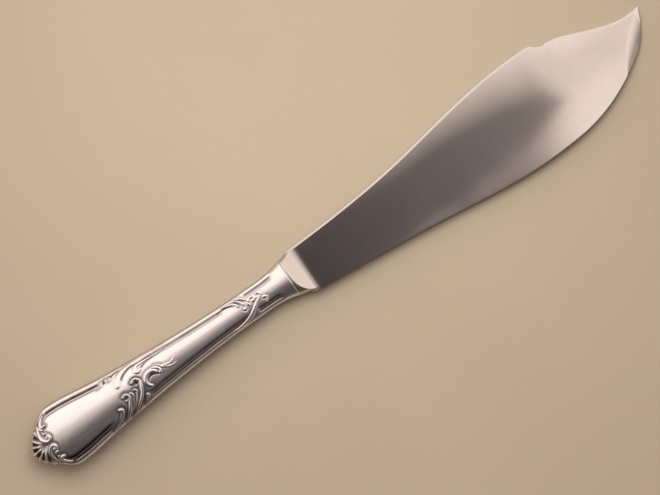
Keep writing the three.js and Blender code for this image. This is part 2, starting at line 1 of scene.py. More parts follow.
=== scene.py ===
"""Looks for a cake knife with a hollow silver handle and a steel blade.

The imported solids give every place. The two struck half-shells and the blade are made again
as finer meshes in the same frame, the solder line, mouth cap and cement keep their solids,
and every piece gets its finish. Sizes are in millimetres, and meshes are scaled to metres.
"""

import logging
import math
from dataclasses import dataclass, replace
from enum import Enum
from typing import Sequence

import bmesh
import bpy
import numpy as np
from mathutils import Matrix, Vector
from mathutils.kdtree import KDTree


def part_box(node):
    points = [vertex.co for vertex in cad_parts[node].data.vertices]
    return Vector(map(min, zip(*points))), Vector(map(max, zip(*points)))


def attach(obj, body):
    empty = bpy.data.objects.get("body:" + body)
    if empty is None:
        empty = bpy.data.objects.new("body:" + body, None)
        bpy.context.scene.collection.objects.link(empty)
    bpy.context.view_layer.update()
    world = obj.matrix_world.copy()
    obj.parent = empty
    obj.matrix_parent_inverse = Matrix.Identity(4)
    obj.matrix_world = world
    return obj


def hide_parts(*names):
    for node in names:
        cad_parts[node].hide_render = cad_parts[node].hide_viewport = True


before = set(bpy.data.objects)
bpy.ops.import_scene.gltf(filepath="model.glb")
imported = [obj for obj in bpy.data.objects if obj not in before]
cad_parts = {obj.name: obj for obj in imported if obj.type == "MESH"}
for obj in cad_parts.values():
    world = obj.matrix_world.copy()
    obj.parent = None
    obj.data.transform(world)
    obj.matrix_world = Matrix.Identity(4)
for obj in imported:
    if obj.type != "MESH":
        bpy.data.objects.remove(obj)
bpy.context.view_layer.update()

MM = 0.001
BODY = "root"
# Tarnish in the handle's hollows, with painted shade on its flanks, its edge side and the scrolls' shaded
# sides, kept on the shells' points.
TARNISH_AND_SHADE = "tarnish"

# Points closer than TOUCH are one point, and sizes that differ by less than SLACK are the same.
TOUCH = 1e-4
SLACK = 1e-6

# Most values of a soft noise lie in this span.
NOISE_SPAN = (0.3, 0.7)

Array = np.ndarray
Point = tuple[float, float]
Noise = tuple[float, float]
Knot = tuple[float, float, float]
Axes = tuple[float, float, float]
Streaks = tuple[Axes, float]
Colour = tuple[float, float, float]
Stretch = tuple[float, float, float, float]
Socket = bpy.types.NodeSocket
Material = bpy.types.Material
Object = bpy.types.Object
Mesh = bmesh.types.BMesh

log = logging.getLogger("cake_knife")


class Strike(Enum):
    """The two strikes of the handle's die, named as the solids that they stand for."""

    FRONT = "handle_front_shell"
    BACK = "handle_back_shell"


class Line(Enum):
    """How a line of the relief is worked: raised as a rib, or cut as a groove."""

    RAISED = "raised"
    CUT = "cut"


def follow(knots: Sequence[Knot], at: Array) -> Array:
    """Read a smooth curve through knots.

    Args:
        knots: Place, value and slope of each knot, in order of place.
        at: Places to read.

    Returns:
        The curve's value at each place.
    """
    place, value, slope = (np.array(column, float) for column in zip(*knots))
    at = np.asarray(at, float)
    last = np.clip(np.searchsorted(place, at), 1, len(place) - 1)
    first = last - 1
    span = place[last] - place[first]
    u = (at - place[first]) / span
    rise = u * u * (3 - 2 * u)
    lead = u * (1 - u) ** 2
    trail = u * u * (u - 1)
    curve = value[first] + (value[last] - value[first]) * rise
    return curve + span * (slope[first] * lead + slope[last] * trail)


def ease(start: float, end: float, at: Array) -> Array:
    """Rise smoothly from 0 at start to 1 at end.

    Args:
        start: Where the rise begins.
        end: Where it is complete.
        at: Places to read.

    Returns:
        The share risen at each place.
    """
    u = np.clip((np.asarray(at, float) - start) / (end - start), 0, 1)
    return u * u * (3 - 2 * u)


def within(stretch: Sequence[float], at: Array) -> Array:
    """Rise smoothly from 0 to 1 into a stretch, and fall back to 0 at its end.

    Args:
        stretch: Where the rise begins and is complete, and where the fall begins and is complete.
        at: Places to read.

    Returns:
        The share risen at each place.
    """
    rise, risen, fall, fallen = stretch
    return ease(rise, risen, at) * (1 - ease(fall, fallen, at))


def softer_max(a: Array, b: Array, blend: float) -> Array:
    """Join two heights by their higher one, with a fillet of about the blend's size."""
    return 0.5 * (a + b + np.sqrt((a - b) ** 2 + blend * blend))


def softer_min(a: Array, b: Array, blend: float) -> Array:
    """Cut one height by another, with the corner rounded over about the blend's size."""
    return 0.5 * (a + b - np.sqrt((a - b) ** 2 + blend * blend))


def spaced(ends: Sequence[float], pitches: Sequence[float]) -> Array:
    """List places stretch by stretch, each stretch with its own pitch.

    Args:
        ends: Where the stretches begin and end, in order.
        pitches: The pitch of each stretch.

    Returns:
        The places, with each stretch's ends kept exactly.
    """
    places = [np.array(ends[:1])]
    for start, end, pitch in zip(ends, ends[1:], pitches):
        count = max(1, round((end - start) / pitch))
        places.append(np.linspace(start, end, count + 1)[1:])
    return np.concatenate(places)


def smooth_path(points: Sequence[Point], per_span: int = 8) -> Array:
    """Draw a smooth line through points.

    Args:
        points: The points that the line passes.
        per_span: Steps between two points.

    Returns:
        Points along the line, one row each.
    """
    p = np.array(points, float)
    ends = np.vstack([2 * p[0] - p[1], p, 2 * p[-1] - p[-2]])
    u = np.linspace(0, 1, per_span, endpoint=False)[:, None]
    spans = []
    for a, b, c, d in zip(ends, ends[1:], ends[2:], ends[3:]):
        bend = (2 * a - 5 * b + 4 * c - d) * u**2 + (3 * b - a - 3 * c + d) * u**3
        spans.append(0.5 * (2 * b + (c - a) * u + bend))
    return np.vstack([*spans, p[-1:]])


def blurred(field: Array, passes: int) -> Array:
    """Average a grid of values with its neighbours.

    Args:
        field: The grid.
        passes: How often it is averaged.

    Returns:
        The averaged grid.
    """
    for _ in range(passes):
        for axis in (0, 1):
            padded = np.pad(field, [(1, 1) if k == axis else (0, 0) for k in (0, 1)], mode="edge")
            low = np.take(padded, range(field.shape[axis]), axis)
            high = np.take(padded, range(2, field.shape[axis] + 2), axis)
            field = 0.5 * field + 0.25 * (low + high)
    return field


def grid_mesh(places: Array) -> Mesh:
    """Lay a grid over a table of places.

    Args:
        places: Rows by columns by three coordinates.

    Returns:
        A new mesh whose faces follow the table.
    """
    rows, columns = places.shape[:2]
    mesh = bmesh.new()
    bmesh.ops.create_grid(mesh, x_segments=rows - 1, y_segments=columns - 1, size=1.0)
    for vertex in mesh.verts:
        row = round((vertex.co.x + 1) / 2 * (rows - 1))
        column = round((vertex.co.y + 1) / 2 * (columns - 1))
        vertex.co = places[row, column]
    return mesh


def open_edges(mesh: Mesh) -> list[bmesh.types.BMEdge]:
    """List the edges with a face on one side only."""
    return [edge for edge in mesh.edges if edge.is_boundary]


def outward(mesh: Mesh) -> None:
    """Turn all faces of a closed mesh outwards."""
    bmesh.ops.recalc_face_normals(mesh, faces=mesh.faces[:])


def linked(name: str, data: bpy.types.ID) -> Object:
    """Put data into the scene as a new object at the origin.

    Args:
        name: The object's name.
        data: Its mesh, light or camera.

    Returns:
        The new object.
    """
    piece = bpy.data.objects.new(name, data)
    bpy.context.scene.collection.objects.link(piece)
    return piece


def to_object(name: str, mesh: Mesh) -> Object:
    """Make a scene object of a mesh and free the mesh.

    Args:
        name: The object's name.
        mesh: The mesh in its place.

    Returns:
        The new object at the origin.
    """
    data = bpy.data.meshes.new(name)
    mesh.to_mesh(data)
    mesh.free()
    return linked(name, data)


def joined(piece: Object, tool: Object, operation: str) -> None:
    """Cut a piece by a tool body, or fuse them, and remove the tool.

    Args:
        piece: The object that is changed.
        tool: The closed body that cuts or is fused.
        operation: DIFFERENCE or UNION.
    """
    modifier = piece.modifiers.new("join", "BOOLEAN")
    modifier.operation = operation
    modifier.solver = "MANIFOLD"
    modifier.object = tool
    shown = piece.evaluated_get(bpy.context.evaluated_depsgraph_get())
    result = bpy.data.meshes.new_from_object(shown)
    piece.modifiers.clear()
    before = piece.data
    piece.data = result
    result.name = piece.name
    bpy.data.meshes.remove(before)
    bpy.data.objects.remove(tool)


def shaded(piece: Object, crease: float) -> None:
    """Shade a piece smoothly, with sharp edges past an angle in degrees."""
    piece.data.shade_smooth()
    piece.data.set_sharp_from_angle(angle=math.radians(crease))


@dataclass(frozen=True)
class Stroke:
    """One line of the die's relief, drawn over the handle's face.

    Attributes:
        points: Distance from the butt, and from the middle line towards the blade's back.
        widths: Half-widths from the line's root to its head, evenly spaced.
        rise: Height, or depth, where the line is widest.
        line: Whether the line stands up or is cut in.
        stain_and_shade: Strength of the tarnish and painted shade that lie along a raised line.
        skew: How far the crest leans to the right of the line's way from root to head, which also lets
            painted shade climb its right flank.
    """

    points: tuple[Point, ...]
    widths: tuple[float, ...]
    rise: float
    line: Line = Line.RAISED
    stain_and_shade: float = 0.0
    skew: float = 0.0

    def mirrored(self) -> "Stroke":
        """Give the same stroke on the other side of the middle line."""
        return replace(self, points=tuple((at, -y) for at, y in self.points))

    def half_width(self, share: Array) -> Array:
        """Give the half-width at shares of the line's length."""
        return np.interp(share, np.linspace(0, 1, len(self.widths)), self.widths)


def eye(at: float, y: float) -> tuple[Stroke, Stroke]:
    """Draw a small round bud in a crescent that is cut below it.

    Args:
        at: Distance of its middle from the butt.
        y: Distance of its middle from the middle line.

    Returns:
        The bud and its crescent.
    """
    bud_half_length, bud_radius, bud_rise = 0.1, 0.62, 0.26
    rim_radius, rim_widths, rim_depth = 0.9, (0.15, 0.34, 0.15), 0.13
    rim_start, rim_end, rim_points = 170, 370, 6
    bud = ((at - bud_half_length, y), (at + bud_half_length, y))
    turn = np.radians(np.linspace(rim_start, rim_end, rim_points))
    rim = tuple((at + rim_radius * math.cos(a), y + rim_radius * math.sin(a)) for a in turn)
    return Stroke(bud, (bud_radius, bud_radius), bud_rise), Stroke(rim, rim_widths, rim_depth, Line.CUT)


def placed(
    strokes: Sequence[Stroke], along: float, across: float, stain_and_shade: float, skew: float = 0.0
) -> tuple[Stroke, ...]:
    """Set a group of strokes in its place on the face.

    Args:
        strokes: The group.
        along: How far it moves towards the blade.
        across: How far it moves towards the blade's back.
        stain_and_shade: Strength of the tarnish and painted shade along its raised lines.
        skew: How far its crests lean to the right, and how far painted shade climbs their right flanks.

    Returns:
        The strokes in place.
    """
    moved = []
    for stroke in strokes:
        points = tuple((at + along, y + across) for at, y in stroke.points)
        moved.append(replace(stroke, points=points, stain_and_shade=stain_and_shade, skew=skew))
    return tuple(moved)


BUTT_SIDE = (
    Stroke(
        ((6.9, 7.8), (6.1, 5.5), (5.9, 3.6), (6.4, 2.2), (7.5, 1.2), (8.7, 1.1), (9.3, 1.9), (9.0, 2.9)),
        (0.4, 0.75, 0.75),
        0.6,
    ),
    Stroke(((7.8, 2.6), (8.1, 2.4)), (0.5, 0.5), 0.38),
    Stroke(
        ((11.0, 10.0), (9.9, 9.3), (8.8, 8.3), (8.2, 7.3), (8.8, 6.5), (9.8, 6.6)),
        (0.35, 0.7, 0.65),
        0.5,
    ),
    Stroke(((7.2, 7.3), (7.5, 6.2), (8.0, 5.6)), (0.3, 0.42), 0.32),
    Stroke(((7.3, 4.9), (7.9, 4.0), (8.7, 3.9)), (0.3, 0.48), 0.36),
)
BUTT_SCROLLS = (*BUTT_SIDE, *(stroke.mirrored() for stroke in BUTT_SIDE))
BORDER_CURLS = (
    Stroke(((33.0, 6.9), (34.6, 7.0), (35.5, 7.4), (35.8, 8.3)), (0.3, 0.5), 0.3),
    Stroke(((37.4, 8.5), (37.6, 7.5), (38.5, 7.0), (39.3, 7.4), (39.2, 8.1)), (0.45, 0.45), 0.32),
    Stroke(((36.5, 7.3), (36.7, 8.1)), (0.5, 0.5), 0.36, Line.CUT),
    Stroke(((39.6, 8.0), (41.5, 8.2), (43.8, 8.1)), (0.5, 0.25), 0.36, Line.CUT),
)
GREAT_SCROLL = (
    Stroke(
        ((62.0, 7.3), (54.0, 7.9), (48.4, 7.9), (45.0, 7.4), (42.8, 6.5), (41.0, 5.1), (40.1, 3.7)),
        (0.5, 0.7, 1.0, 1.4, 1.0),
        0.32,
    ),
    Stroke(
        ((60.0, 6.1), (54.0, 6.5), (50.5, 6.8), (47.3, 6.9), (44.7, 6.2), (43.0, 5.2), (42.6, 4.7)),
        (0.3, 0.42, 0.4, 0.38),
        0.26,
        Line.CUT,
    ),
    Stroke(
        ((62.0, 5.5), (56.0, 5.8), (50.4, 6.1), (48.9, 5.6), (48.5, 4.4), (49.3, 3.7), (50.4, 4.2)),
        (0.3, 0.5, 0.75, 0.7),
        0.36,
    ),
    Stroke(((59.5, 5.0), (56.0, 5.3), (53.5, 5.2), (51.3, 4.6)), (0.2, 0.4), 0.2, Line.CUT),
)
FRONDS = (
    Stroke(
        ((29.8, -9.0), (32.6, -8.0), (34.8, -6.7), (36.2, -5.4), (36.5, -4.6), (36.0, -4.2)),
        (0.5, 0.7, 1.0),
        0.55,
    ),
    Stroke(
        (
            *((35.4, -8.6), (37.7, -7.2), (39.6, -5.4), (41.0, -3.4), (41.5, -2.1)),
            *((41.3, -1.1), (40.4, -0.6), (39.5, -1.0)),
        ),
        (0.5, 0.7, 0.72, 0.68),
        0.52,
    ),
    Stroke(((39.8, -2.7), (40.0, -2.6)), (0.4, 0.4), 0.3),
    Stroke(((38.8, -7.4), (41.1, -5.4), (42.4, -3.7), (43.0, -2.1), (42.7, -1.2)), (0.35, 0.45, 0.55), 0.38),
    Stroke(
        ((40.6, -6.8), (42.4, -5.3), (43.8, -3.9), (44.7, -2.4), (44.9, -1.5), (44.5, -0.9)),
        (0.35, 0.45, 0.55),
        0.38,
    ),
    Stroke(
        (
            *((38.8, -8.6), (41.4, -7.3), (44.0, -5.6), (45.9, -3.9), (47.0, -2.2), (47.7, -0.4)),
            *((47.9, 0.9), (47.0, 2.1), (45.9, 2.2), (45.1, 1.7)),
        ),
        (0.5, 0.7, 0.8, 0.72),
        0.55,
    ),
    Stroke(((45.9, -0.1), (46.1, 0.0)), (0.42, 0.42), 0.3),
    Stroke(((44.9, -7.3), (46.5, -6.4), (47.7, -5.7), (47.5, -5.0)), (0.4, 0.6, 0.75), 0.5),
    Stroke(((39.5, -1.85), (40.2, -1.75), (40.8, -2.1)), (0.28, 0.34, 0.25), 0.22, Line.CUT),
    Stroke(((45.4, 1.0), (46.2, 0.9), (46.9, 0.5)), (0.28, 0.36, 0.28), 0.24, Line.CUT),
)
LEAF_SCROLL = (
    Stroke(
        ((50.9, -3.4), (50.0, -2.5), (49.75, -1.1), (50.6, 0.6), (52.5, 1.4), (54.2, 1.0), (54.9, 0.2)),
        (0.6, 0.85, 1.0, 0.85),
        0.42,
    ),
    Stroke(((53.6, 2.1), (55.5, 1.4), (56.5, 0.1), (56.2, -0.9)), (0.45, 0.65, 0.65), 0.45),
    Stroke(((55.4, 2.4), (57.0, 1.5), (57.7, 0.3)), (0.4, 0.5), 0.34),
    Stroke(
        ((50.7, -2.2), (51.1, -0.9), (52.6, -0.1), (54.2, -0.4), (55.4, -1.3)),
        (0.25, 0.5, 0.35),
        0.34,
        Line.CUT,
    ),
)
LEAF_TAILS = (
    Stroke(((57.6, 0.7), (59.6, 0.0), (61.6, -0.1), (63.0, 0.5), (63.9, 1.2)), (0.5, 0.42, 0.25), 0.08),
    Stroke(((58.2, 0.1), (60.0, -1.0), (61.6, -1.4), (62.9, -1.2)), (0.45, 0.38, 0.22), 0.08),
)
NECK_SPRAY = (
    Stroke(((86.0, 4.75), (89.5, 4.55), (91.5, 4.0), (92.8, 3.1)), (0.3, 0.35, 0.2), 0.3, Line.CUT),
    Stroke(((88.8, 5.0), (92.0, 4.6), (93.6, 3.7), (94.4, 2.3)), (0.35, 0.6, 0.5), 0.3),
    Stroke(((92.2, 4.85), (93.3, 4.5), (94.4, 3.6), (95.2, 2.0)), (0.25, 0.3, 0.2), 0.3, Line.CUT),
    Stroke(((93.3, 5.2), (94.8, 4.4), (95.9, 2.9), (96.3, 1.8)), (0.35, 0.55, 0.5), 0.32),
    Stroke(((94.4, 4.9), (95.5, 4.2), (96.6, 3.1), (96.8, 2.5)), (0.25, 0.3, 0.2), 0.3, Line.CUT),
    Stroke(((95.5, 5.2), (97.0, 4.0), (98.1, 2.5), (98.5, 1.8)), (0.35, 0.55, 0.55), 0.36),
    *eye(95.9, 0.1),
    Stroke(
        ((84.0, -5.0), (90.0, -4.75), (94.0, -4.2), (97.0, -3.1), (99.4, -1.5), (101.4, 0.1)),
        (0.4, 0.6, 0.85, 0.6),
        0.32,
    ),
    Stroke(((98.2, 0.2), (98.0, 1.4), (99.2, 2.5), (100.6, 2.4)), (0.4, 0.6, 0.55), 0.26),
    Stroke(((101.2, 1.9), (102.2, 2.6), (103.2, 2.4), (103.6, 1.5)), (0.4, 0.55, 0.5), 0.26),
    Stroke(((100.2, 1.0), (101.4, 1.4)), (0.7, 0.7), 0.3),
    Stroke(((102.3, 0.2), (103.0, 1.0)), (0.4, 0.45), 0.22),
    *eye(104.3, -0.1),
    Stroke(((105.2, -0.6), (104.9, -1.6), (104.3, -2.3)), (0.4, 0.25), 0.26),
)
# Each group's third value is its tarnish strength, which also paints shade: strong in the fronds' gaps, faint
# on the lit great scroll.
RELIEF = (
    *placed(BUTT_SCROLLS, 0.75, 0.0, 0.95),
    *placed(BORDER_CURLS, 0.7, -0.35, 0.5),
    *placed(GREAT_SCROLL, 0.7, -0.55, 0.18),
    *placed(FRONDS, 0.75, -0.6, 0.95, 0.35),
    *placed(LEAF_SCROLL, 0.65, -0.5, 0.6),
    *placed(LEAF_TAILS, 0.6, -0.5, 0.08),
    *placed(NECK_SPRAY, -0.6, -0.3, 0.25),
)


@dataclass(frozen=True)
class HandleForm:
    """The handle's plain form: its outline from above and from the side, and its section."""

    butt: float
    length: float
    scallop_at: float = 6.0
    scallop_half_width: float = 7.4
    scallop_flare: float = 0.95
    scallop_half_height: float = 4.3
    scallop_rise: float = 0.45
    shoulder_at: float = 14.0
    shoulder_half_width: float = 12.4
    body_at: float = 36.0
    body_half_width: float = 9.9
    body_taper: float = -0.1
    belly_at: float = 24.0
    belly_half_height: float = 7.0
    neck_from_mouth: float = 18.0
    neck_half_width: float = 6.0
    neck_half_height: float = 4.4
    mouth_half_width: float = 7.7
    mouth_flare: float = 0.36
    mouth_half_height: float = 5.2
    mouth_rise: float = 0.16
    section_power: float = 2.3
    nose_at: float = 0.55
    face_limit: float = 0.995

    def nose(self, at: Array) -> Array:
        """Give the share of the butt's round nose that is reached at a distance from the butt."""
        return np.sqrt(np.clip(at - self.nose_at, 0, None) / (self.scallop_at - self.nose_at))

    def side(self, knots: Sequence[Knot], at: Array) -> Array:
        """Follow one of the handle's sides: the round nose, then a curve from the scallop on.

        Args:
            knots: The curve's knots, the scallop's first.
            at: Distances from the butt.

        Returns:
            Distances from the handle's middle.
        """
        past = follow(knots, np.maximum(at, self.scallop_at))
        return np.where(at < self.scallop_at, knots[0][1] * self.nose(at), past)

    def half_width(self, at: Array) -> Array:
        """Give the half-width at distances from the butt.

        Args:
            at: Distances from the butt.

        Returns:
            Half-widths of the outline.
        """
        neck_at = self.length - self.neck_from_mouth
        plan = (
            (self.scallop_at, self.scallop_half_width, self.scallop_flare),
            (self.shoulder_at, self.shoulder_half_width, 0),
            (self.body_at, self.body_half_width, self.body_taper),
            (neck_at, self.neck_half_width, 0),
            (self.length, self.mouth_half_width, self.mouth_flare),
        )
        return self.side(plan, at)

    def half_height(self, at: Array) -> Array:
        """Give the half-height at distances from the butt.

        Args:
            at: Distances from the butt.

        Returns:
            Half-heights of the outline.
        """
        neck_at = self.length - self.neck_from_mouth
        profile = (
            (self.scallop_at, self.scallop_half_height, self.scallop_rise),
            (self.belly_at, self.belly_half_height, 0),
            (neck_at, self.neck_half_height, 0),
            (self.length, self.mouth_half_height, self.mouth_rise),
        )
        return self.side(profile, at)

    def oval(self, at: Array, angle: Array, inset: float = 0.0) -> Array:
        """Place points on the oval sections.

        Args:
            at: Distances from the butt.
            angle: Angles round the section, from the blade's back side over the top.
            inset: How far the section is drawn in.

        Returns:
            Coordinates in the knife's frame, one more axis than the angles have.
        """
        power = 2 / self.section_power
        across, up = np.cos(angle), np.sin(angle)
        y = (self.half_width(at) - inset) * np.sign(across) * np.abs(across) ** power
        z = (self.half_height(at) - inset) * np.sign(up) * np.abs(up) ** power
        return np.stack(np.broadcast_arrays(self.butt + at, y, z), axis=-1)

    def on_face(self, at: Array, y: Array) -> Array:
        """Lay points of the plan on the upper surface.

        Args:
            at: Distances from the butt.
            y: Distances from the middle line.

        Returns:
            Coordinates in the knife's frame, one row each.
        """
        share = np.clip(np.abs(y) / self.half_width(at), 0, self.face_limit)
        z = self.half_height(at) * (1 - share**self.section_power) ** (1 / self.section_power)
        return np.stack([self.butt + at, y, z], axis=-1)


@dataclass
class StruckHandle:
    """The handle's two die-struck half-shells, with shell butt, border and scrolls."""

    form: HandleForm
    lip: float = 0.1
    sheet: float = 0.6
    cavity_start: float = 3.2
    cavity_overrun: float = 1.0
    bead_width: float = 1.53
    groove_width: float = 0.7
    thread_width: float = 0.35
    ledge_width: float = 0.62
    border_base: float = 0.82
    border_growth: float = 0.026
    border_start: Point = (8.2, 10.6)
    border_end_from_mouth: Point = (6.5, 4.5)
    back_gaps: tuple[Stretch, ...] = ((34.6, 35.6, 51.0, 55.0), (86.5, 89.0, 96.6, 98.2))
    edge_gaps: tuple[Stretch, ...] = ((30.0, 34.0, 49.0, 50.0), (94.0, 97.0, 98.8, 100.0))
    narrowing: Point = (40.0, 60.0)
    narrow_share: float = 0.75
    bead_rise: float = 0.46
    bead_crest: float = 0.42
    bead_spread: float = 0.27
    channel_depth: float = 0.26
    channel_wall: float = 0.3
    panel_wall: float = 0.8
    groove_depth: float = 0.18
    groove_spread: float = 0.6
    thread_swell: float = 0.07
    thread_polish: float = 0.7
    polish_spread: float = 0.6
    foot_run: float = 3.0
    flute_count: int = 7
    flute_spread: float = 162.0
    flute_focus: float = 6.6
    flute_root_radius: float = 1.9
    flute_rise: float = 0.55
    flute_valley: float = 0.36
    flute_sharpness: float = 2.2
    flute_growth: float = 2.4
    flute_fade: Point = (0.4, 0.8)
    valley_tarnish: float = 2.0
    bowl_depth: float = 0.4
    bowl_spread: float = 1.2
    bowl_tarnish: float = 0.55
    stroke_margin: float = 1.9
    stroke_fullness: float = 0.9
    stroke_blend: float = 0.12
    clean_crest: float = 0.3
    trench_width: float = 0.7
    trench_depth: float = 0.1
    deepest: float = 0.44
    mouth_rounding: float = 0.14
    mouth_turn: float = 0.4
    tarnish_depth: float = 0.22
    # Tarnish in the groove and on the ledges of the back's side and the edge's side; the edge's side is
    # darker as painted shade.
    border_tarnish_and_shade: tuple[float, float, float] = (1.0, 0.62, 0.97)
    # Tarnish on both flanks, which also serves as painted shade for their dark reflection.
    flank_tarnish_and_shade: float = 0.45
    flank_width: float = 0.6
    tarnish_and_shade_blur: int = 3
    crease: float = 70.0
    shell_end: float = 17.0
    scrolls: Point = (30.0, 66.0)
    spray: Point = (83.0, 112.0)
    rim: float = 0.6
    row_pitches: tuple[float, ...] = (0.16, 0.5, 0.17, 0.5, 0.18, 0.4, 0.1)
    flank_inset: float = 0.8
    border_margin: float = 0.45
    nose_rows: int = 44
    flank_columns: int = 10
    border_columns: int = 27
    panel_columns: int = 78
    inner_columns: int = 40
    inner_pitches: Point = (2.0, 1.0)

    def stations(self) -> Array:
        """List the rows' distances from the butt, close together where there is ornament.

        Returns:
            The distances, from the nose to the mouth.
        """
        form = self.form
        first = self.lip / form.scallop_half_height
        share = np.linspace(first, 1, self.nose_rows)
        nose = form.nose_at + (form.scallop_at - form.nose_at) * share**2
        mouth = (form.length - self.rim, form.length)
        ends = (form.scallop_at, self.shell_end, *self.scrolls, *self.spray, *mouth)
        return np.concatenate([nose[:-1], spaced(ends, self.row_pitches)])

    def section_angles(self, at: Array) -> Array:
        """Choose the columns' angles for each row: flank, border, panel, border and flank.

        Args:
            at: The rows' distances from the butt.

        Returns:
            Angles, one row for each distance.
        """
        form = self.form
        half_width = form.half_width(at)[:, None]
        narrowing = np.minimum(1, half_width / form.scallop_half_width)
        lines = self.bead_width + self.groove_width + self.thread_width + self.ledge_width
        insets = np.linspace(self.flank_inset, lines + self.border_margin, self.border_columns)[None, :]
        share = 1 - insets * self.border_scale(half_width) * narrowing / half_width
        border = np.arccos(np.clip(share, 0, 1) ** (form.section_power / 2))
        flank = border[:, :1] * np.linspace(0, 1, self.flank_columns, endpoint=False)
        side = np.hstack([flank, border])
        step = np.linspace(0, 1, self.panel_columns + 2)[1:-1]
        panel = border[:, -1:] + (math.pi - 2 * border[:, -1:]) * step
        ideal = np.hstack([side, panel, math.pi - side[:, ::-1]])
        height = np.maximum(form.half_height(at)[:, None], self.lip)
        start = np.arcsin((self.lip / height) ** (form.section_power / 2))
        return start + (math.pi - 2 * start) * ideal / math.pi

    def border_scale(self, half_width: Array) -> Array:
        """Give how much wider the border is drawn where the handle is wide."""
        return self.border_base + self.border_growth * half_width

    def border_strength(self, at: Array, y: Array) -> tuple[Array, Array]:
        """Say where the border runs: its channel breaks for the scrolls on each side.

        Args:
            at: Distances from the butt.
            y: Distances from the middle line.

        Returns:
            The channel's strength and the bead's, 1 where full and 0 where there is none.
        """
        end = (self.form.length - place for place in self.border_end_from_mouth)
        slimmer = 1 - (1 - self.narrow_share) * ease(*self.narrowing, at)
        bead = within((*self.border_start, *end), at) * slimmer
        sides = (self.back_gaps, self.edge_gaps)
        back, edge = (np.prod([1 - within(gap, at) for gap in gaps], axis=0) for gaps in sides)
        return bead * np.where(y > 0, back, edge), bead

    def border(self, at: Array, y: Array) -> tuple[Array, Array, Array]:
        """Shape the border: a bead, then a channel with a groove and a thread along its floor.

        Args:
            at: Distances from the butt.
            y: Distances from the middle line.

        Returns:
            Height of the channel's lines over the plain surface, the bead's rise straight up,
            and the tarnish in the channel, with painted shade on the edge's side.
        """
        half_width = self.form.half_width(at)
        inset = (half_width - np.abs(y)) / self.border_scale(half_width)
        groove = self.bead_width + self.groove_width / 2
        thread = self.bead_width + self.groove_width + self.thread_width / 2
        panel = thread + self.thread_width / 2 + self.ledge_width

        def band(middle: float, width: float, power: int = 2) -> Array:
            """Give a soft band of one width at an inset from the outline."""
            return np.exp(-(np.abs((inset - middle) / width) ** power))

        wall, slope = self.channel_wall / 2, self.panel_wall / 2
        bead_end = (self.bead_width - wall, self.bead_width + wall)
        channel = within((*bead_end, panel - slope, panel + slope), inset)
        groove_line = band(groove, self.groove_width * self.groove_spread, 4)
        height = self.thread_swell * band(thread, self.thread_width / 2)
        height = height - self.channel_depth * channel - self.groove_depth * groove_line
        bead = self.bead_rise * band(self.bead_width * self.bead_crest, self.bead_width * self.bead_spread)
        # The edge's side gets more tarnish than the back's, and a dark panel foot: painted shade on the side
        # turned from the light.
        in_groove, on_back, on_edge = self.border_tarnish_and_shade
        foot = within((thread, panel - slope, panel, panel + self.foot_run * slope), inset)
        ledge = np.where(y > 0, on_back * channel, on_edge * np.maximum(channel, foot))
        ledge = ledge * (1 - self.thread_polish * band(thread, self.thread_width * self.polish_spread))
        tarnish = np.maximum(in_groove * groove_line, ledge)
        channel_strength, bead_strength = self.border_strength(at, y)
        return height * channel_strength, bead * bead_strength, tarnish * channel_strength

    def flutes(self, at: Array, y: Array) -> tuple[Array, Array]:
        """Shape the shell on the butt: flutes that spread from a hollow at its focus.

        Args:
            at: Distances from the butt.
            y: Distances from the middle line.

        Returns:
            Height above the plain surface, and the tarnish that lies between the flutes.
        """
        along = self.flute_focus - at
        radius = np.hypot(along, y)
        angle = np.degrees(np.arctan2(y, along))
        pitch = self.flute_spread / (self.flute_count - 1)
        crest = (0.5 + 0.5 * np.cos(2 * math.pi * angle / pitch)) ** self.flute_sharpness
        grown = ease(self.flute_root_radius, self.flute_root_radius + self.flute_growth, radius)
        fading, end = (self.flute_spread / 2 + share * pitch for share in self.flute_fade)
        inside = 1 - ease(fading, end, np.abs(angle))
        wave = ((self.flute_rise + self.flute_valley) * crest - self.flute_valley) * grown * inside
        bowl = np.exp(-((radius / (self.bowl_spread * self.flute_root_radius)) ** 2))
        valley = np.clip(-self.valley_tarnish * wave / self.flute_valley, 0, 1)
        return wave - self.bowl_depth * bowl, np.minimum(valley + self.bowl_tarnish * bowl, 1)

    def strokes(self, places: Array) -> tuple[Array, Array]:
        """Raise and cut the scrolls, each raised one with a shallow trench along its foot.

        Args:
            places: Points of the plain surface, rows by columns by three.

        Returns:
            Height above the plain surface, and the tarnish along the lines and in the cuts, with painted
            shade in the fronds' gaps and up the right flanks of skewed lines.
        """
        shape = places.shape[:2]
        raised, stain_and_shade, cut, bare = np.zeros(shape), np.zeros(shape), np.zeros(shape), np.ones(shape)
        for stroke in RELIEF:
            path = smooth_path(stroke.points)
            line = self.form.on_face(path[:, 0], path[:, 1])
            low, high = line.min(0) - self.stroke_margin, line.max(0) + self.stroke_margin
            near = np.all((places > low) & (places < high), axis=-1)
            offset, share = offset_from_line(places[near], line)
            half = stroke.half_width(share)
            inside = np.clip(offset / half, -1, 1)
            crest = stroke.rise * half / max(stroke.widths)
            dome = crest * (1 - inside**2) ** self.stroke_fullness * (1 - stroke.skew * inside)
            if stroke.line is Line.CUT:
                cut[near] = np.maximum(cut[near], dome)
                continue
            foot = np.exp(-((np.clip(np.abs(offset) - half, 0, None) / self.trench_width) ** 2))
            # On a skewed line the tarnish climbs higher up the right flank: painted shade on the side turned
            # from the light.
            covered = (self.clean_crest + stroke.skew * (offset < 0)) * stroke.rise
            raised[near] = np.maximum(raised[near], dome)
            stain_and_shade[near] = np.maximum(stain_and_shade[near], stroke.stain_and_shade * foot)
            bare[near] = np.minimum(bare[near], 1 - np.clip(dome / covered, 0, 1))
        stain_and_shade = stain_and_shade * bare
        height = raised - self.trench_depth * stain_and_shade - cut
        return height, np.maximum(stain_and_shade, np.clip(cut / self.tarnish_depth, 0, 1))

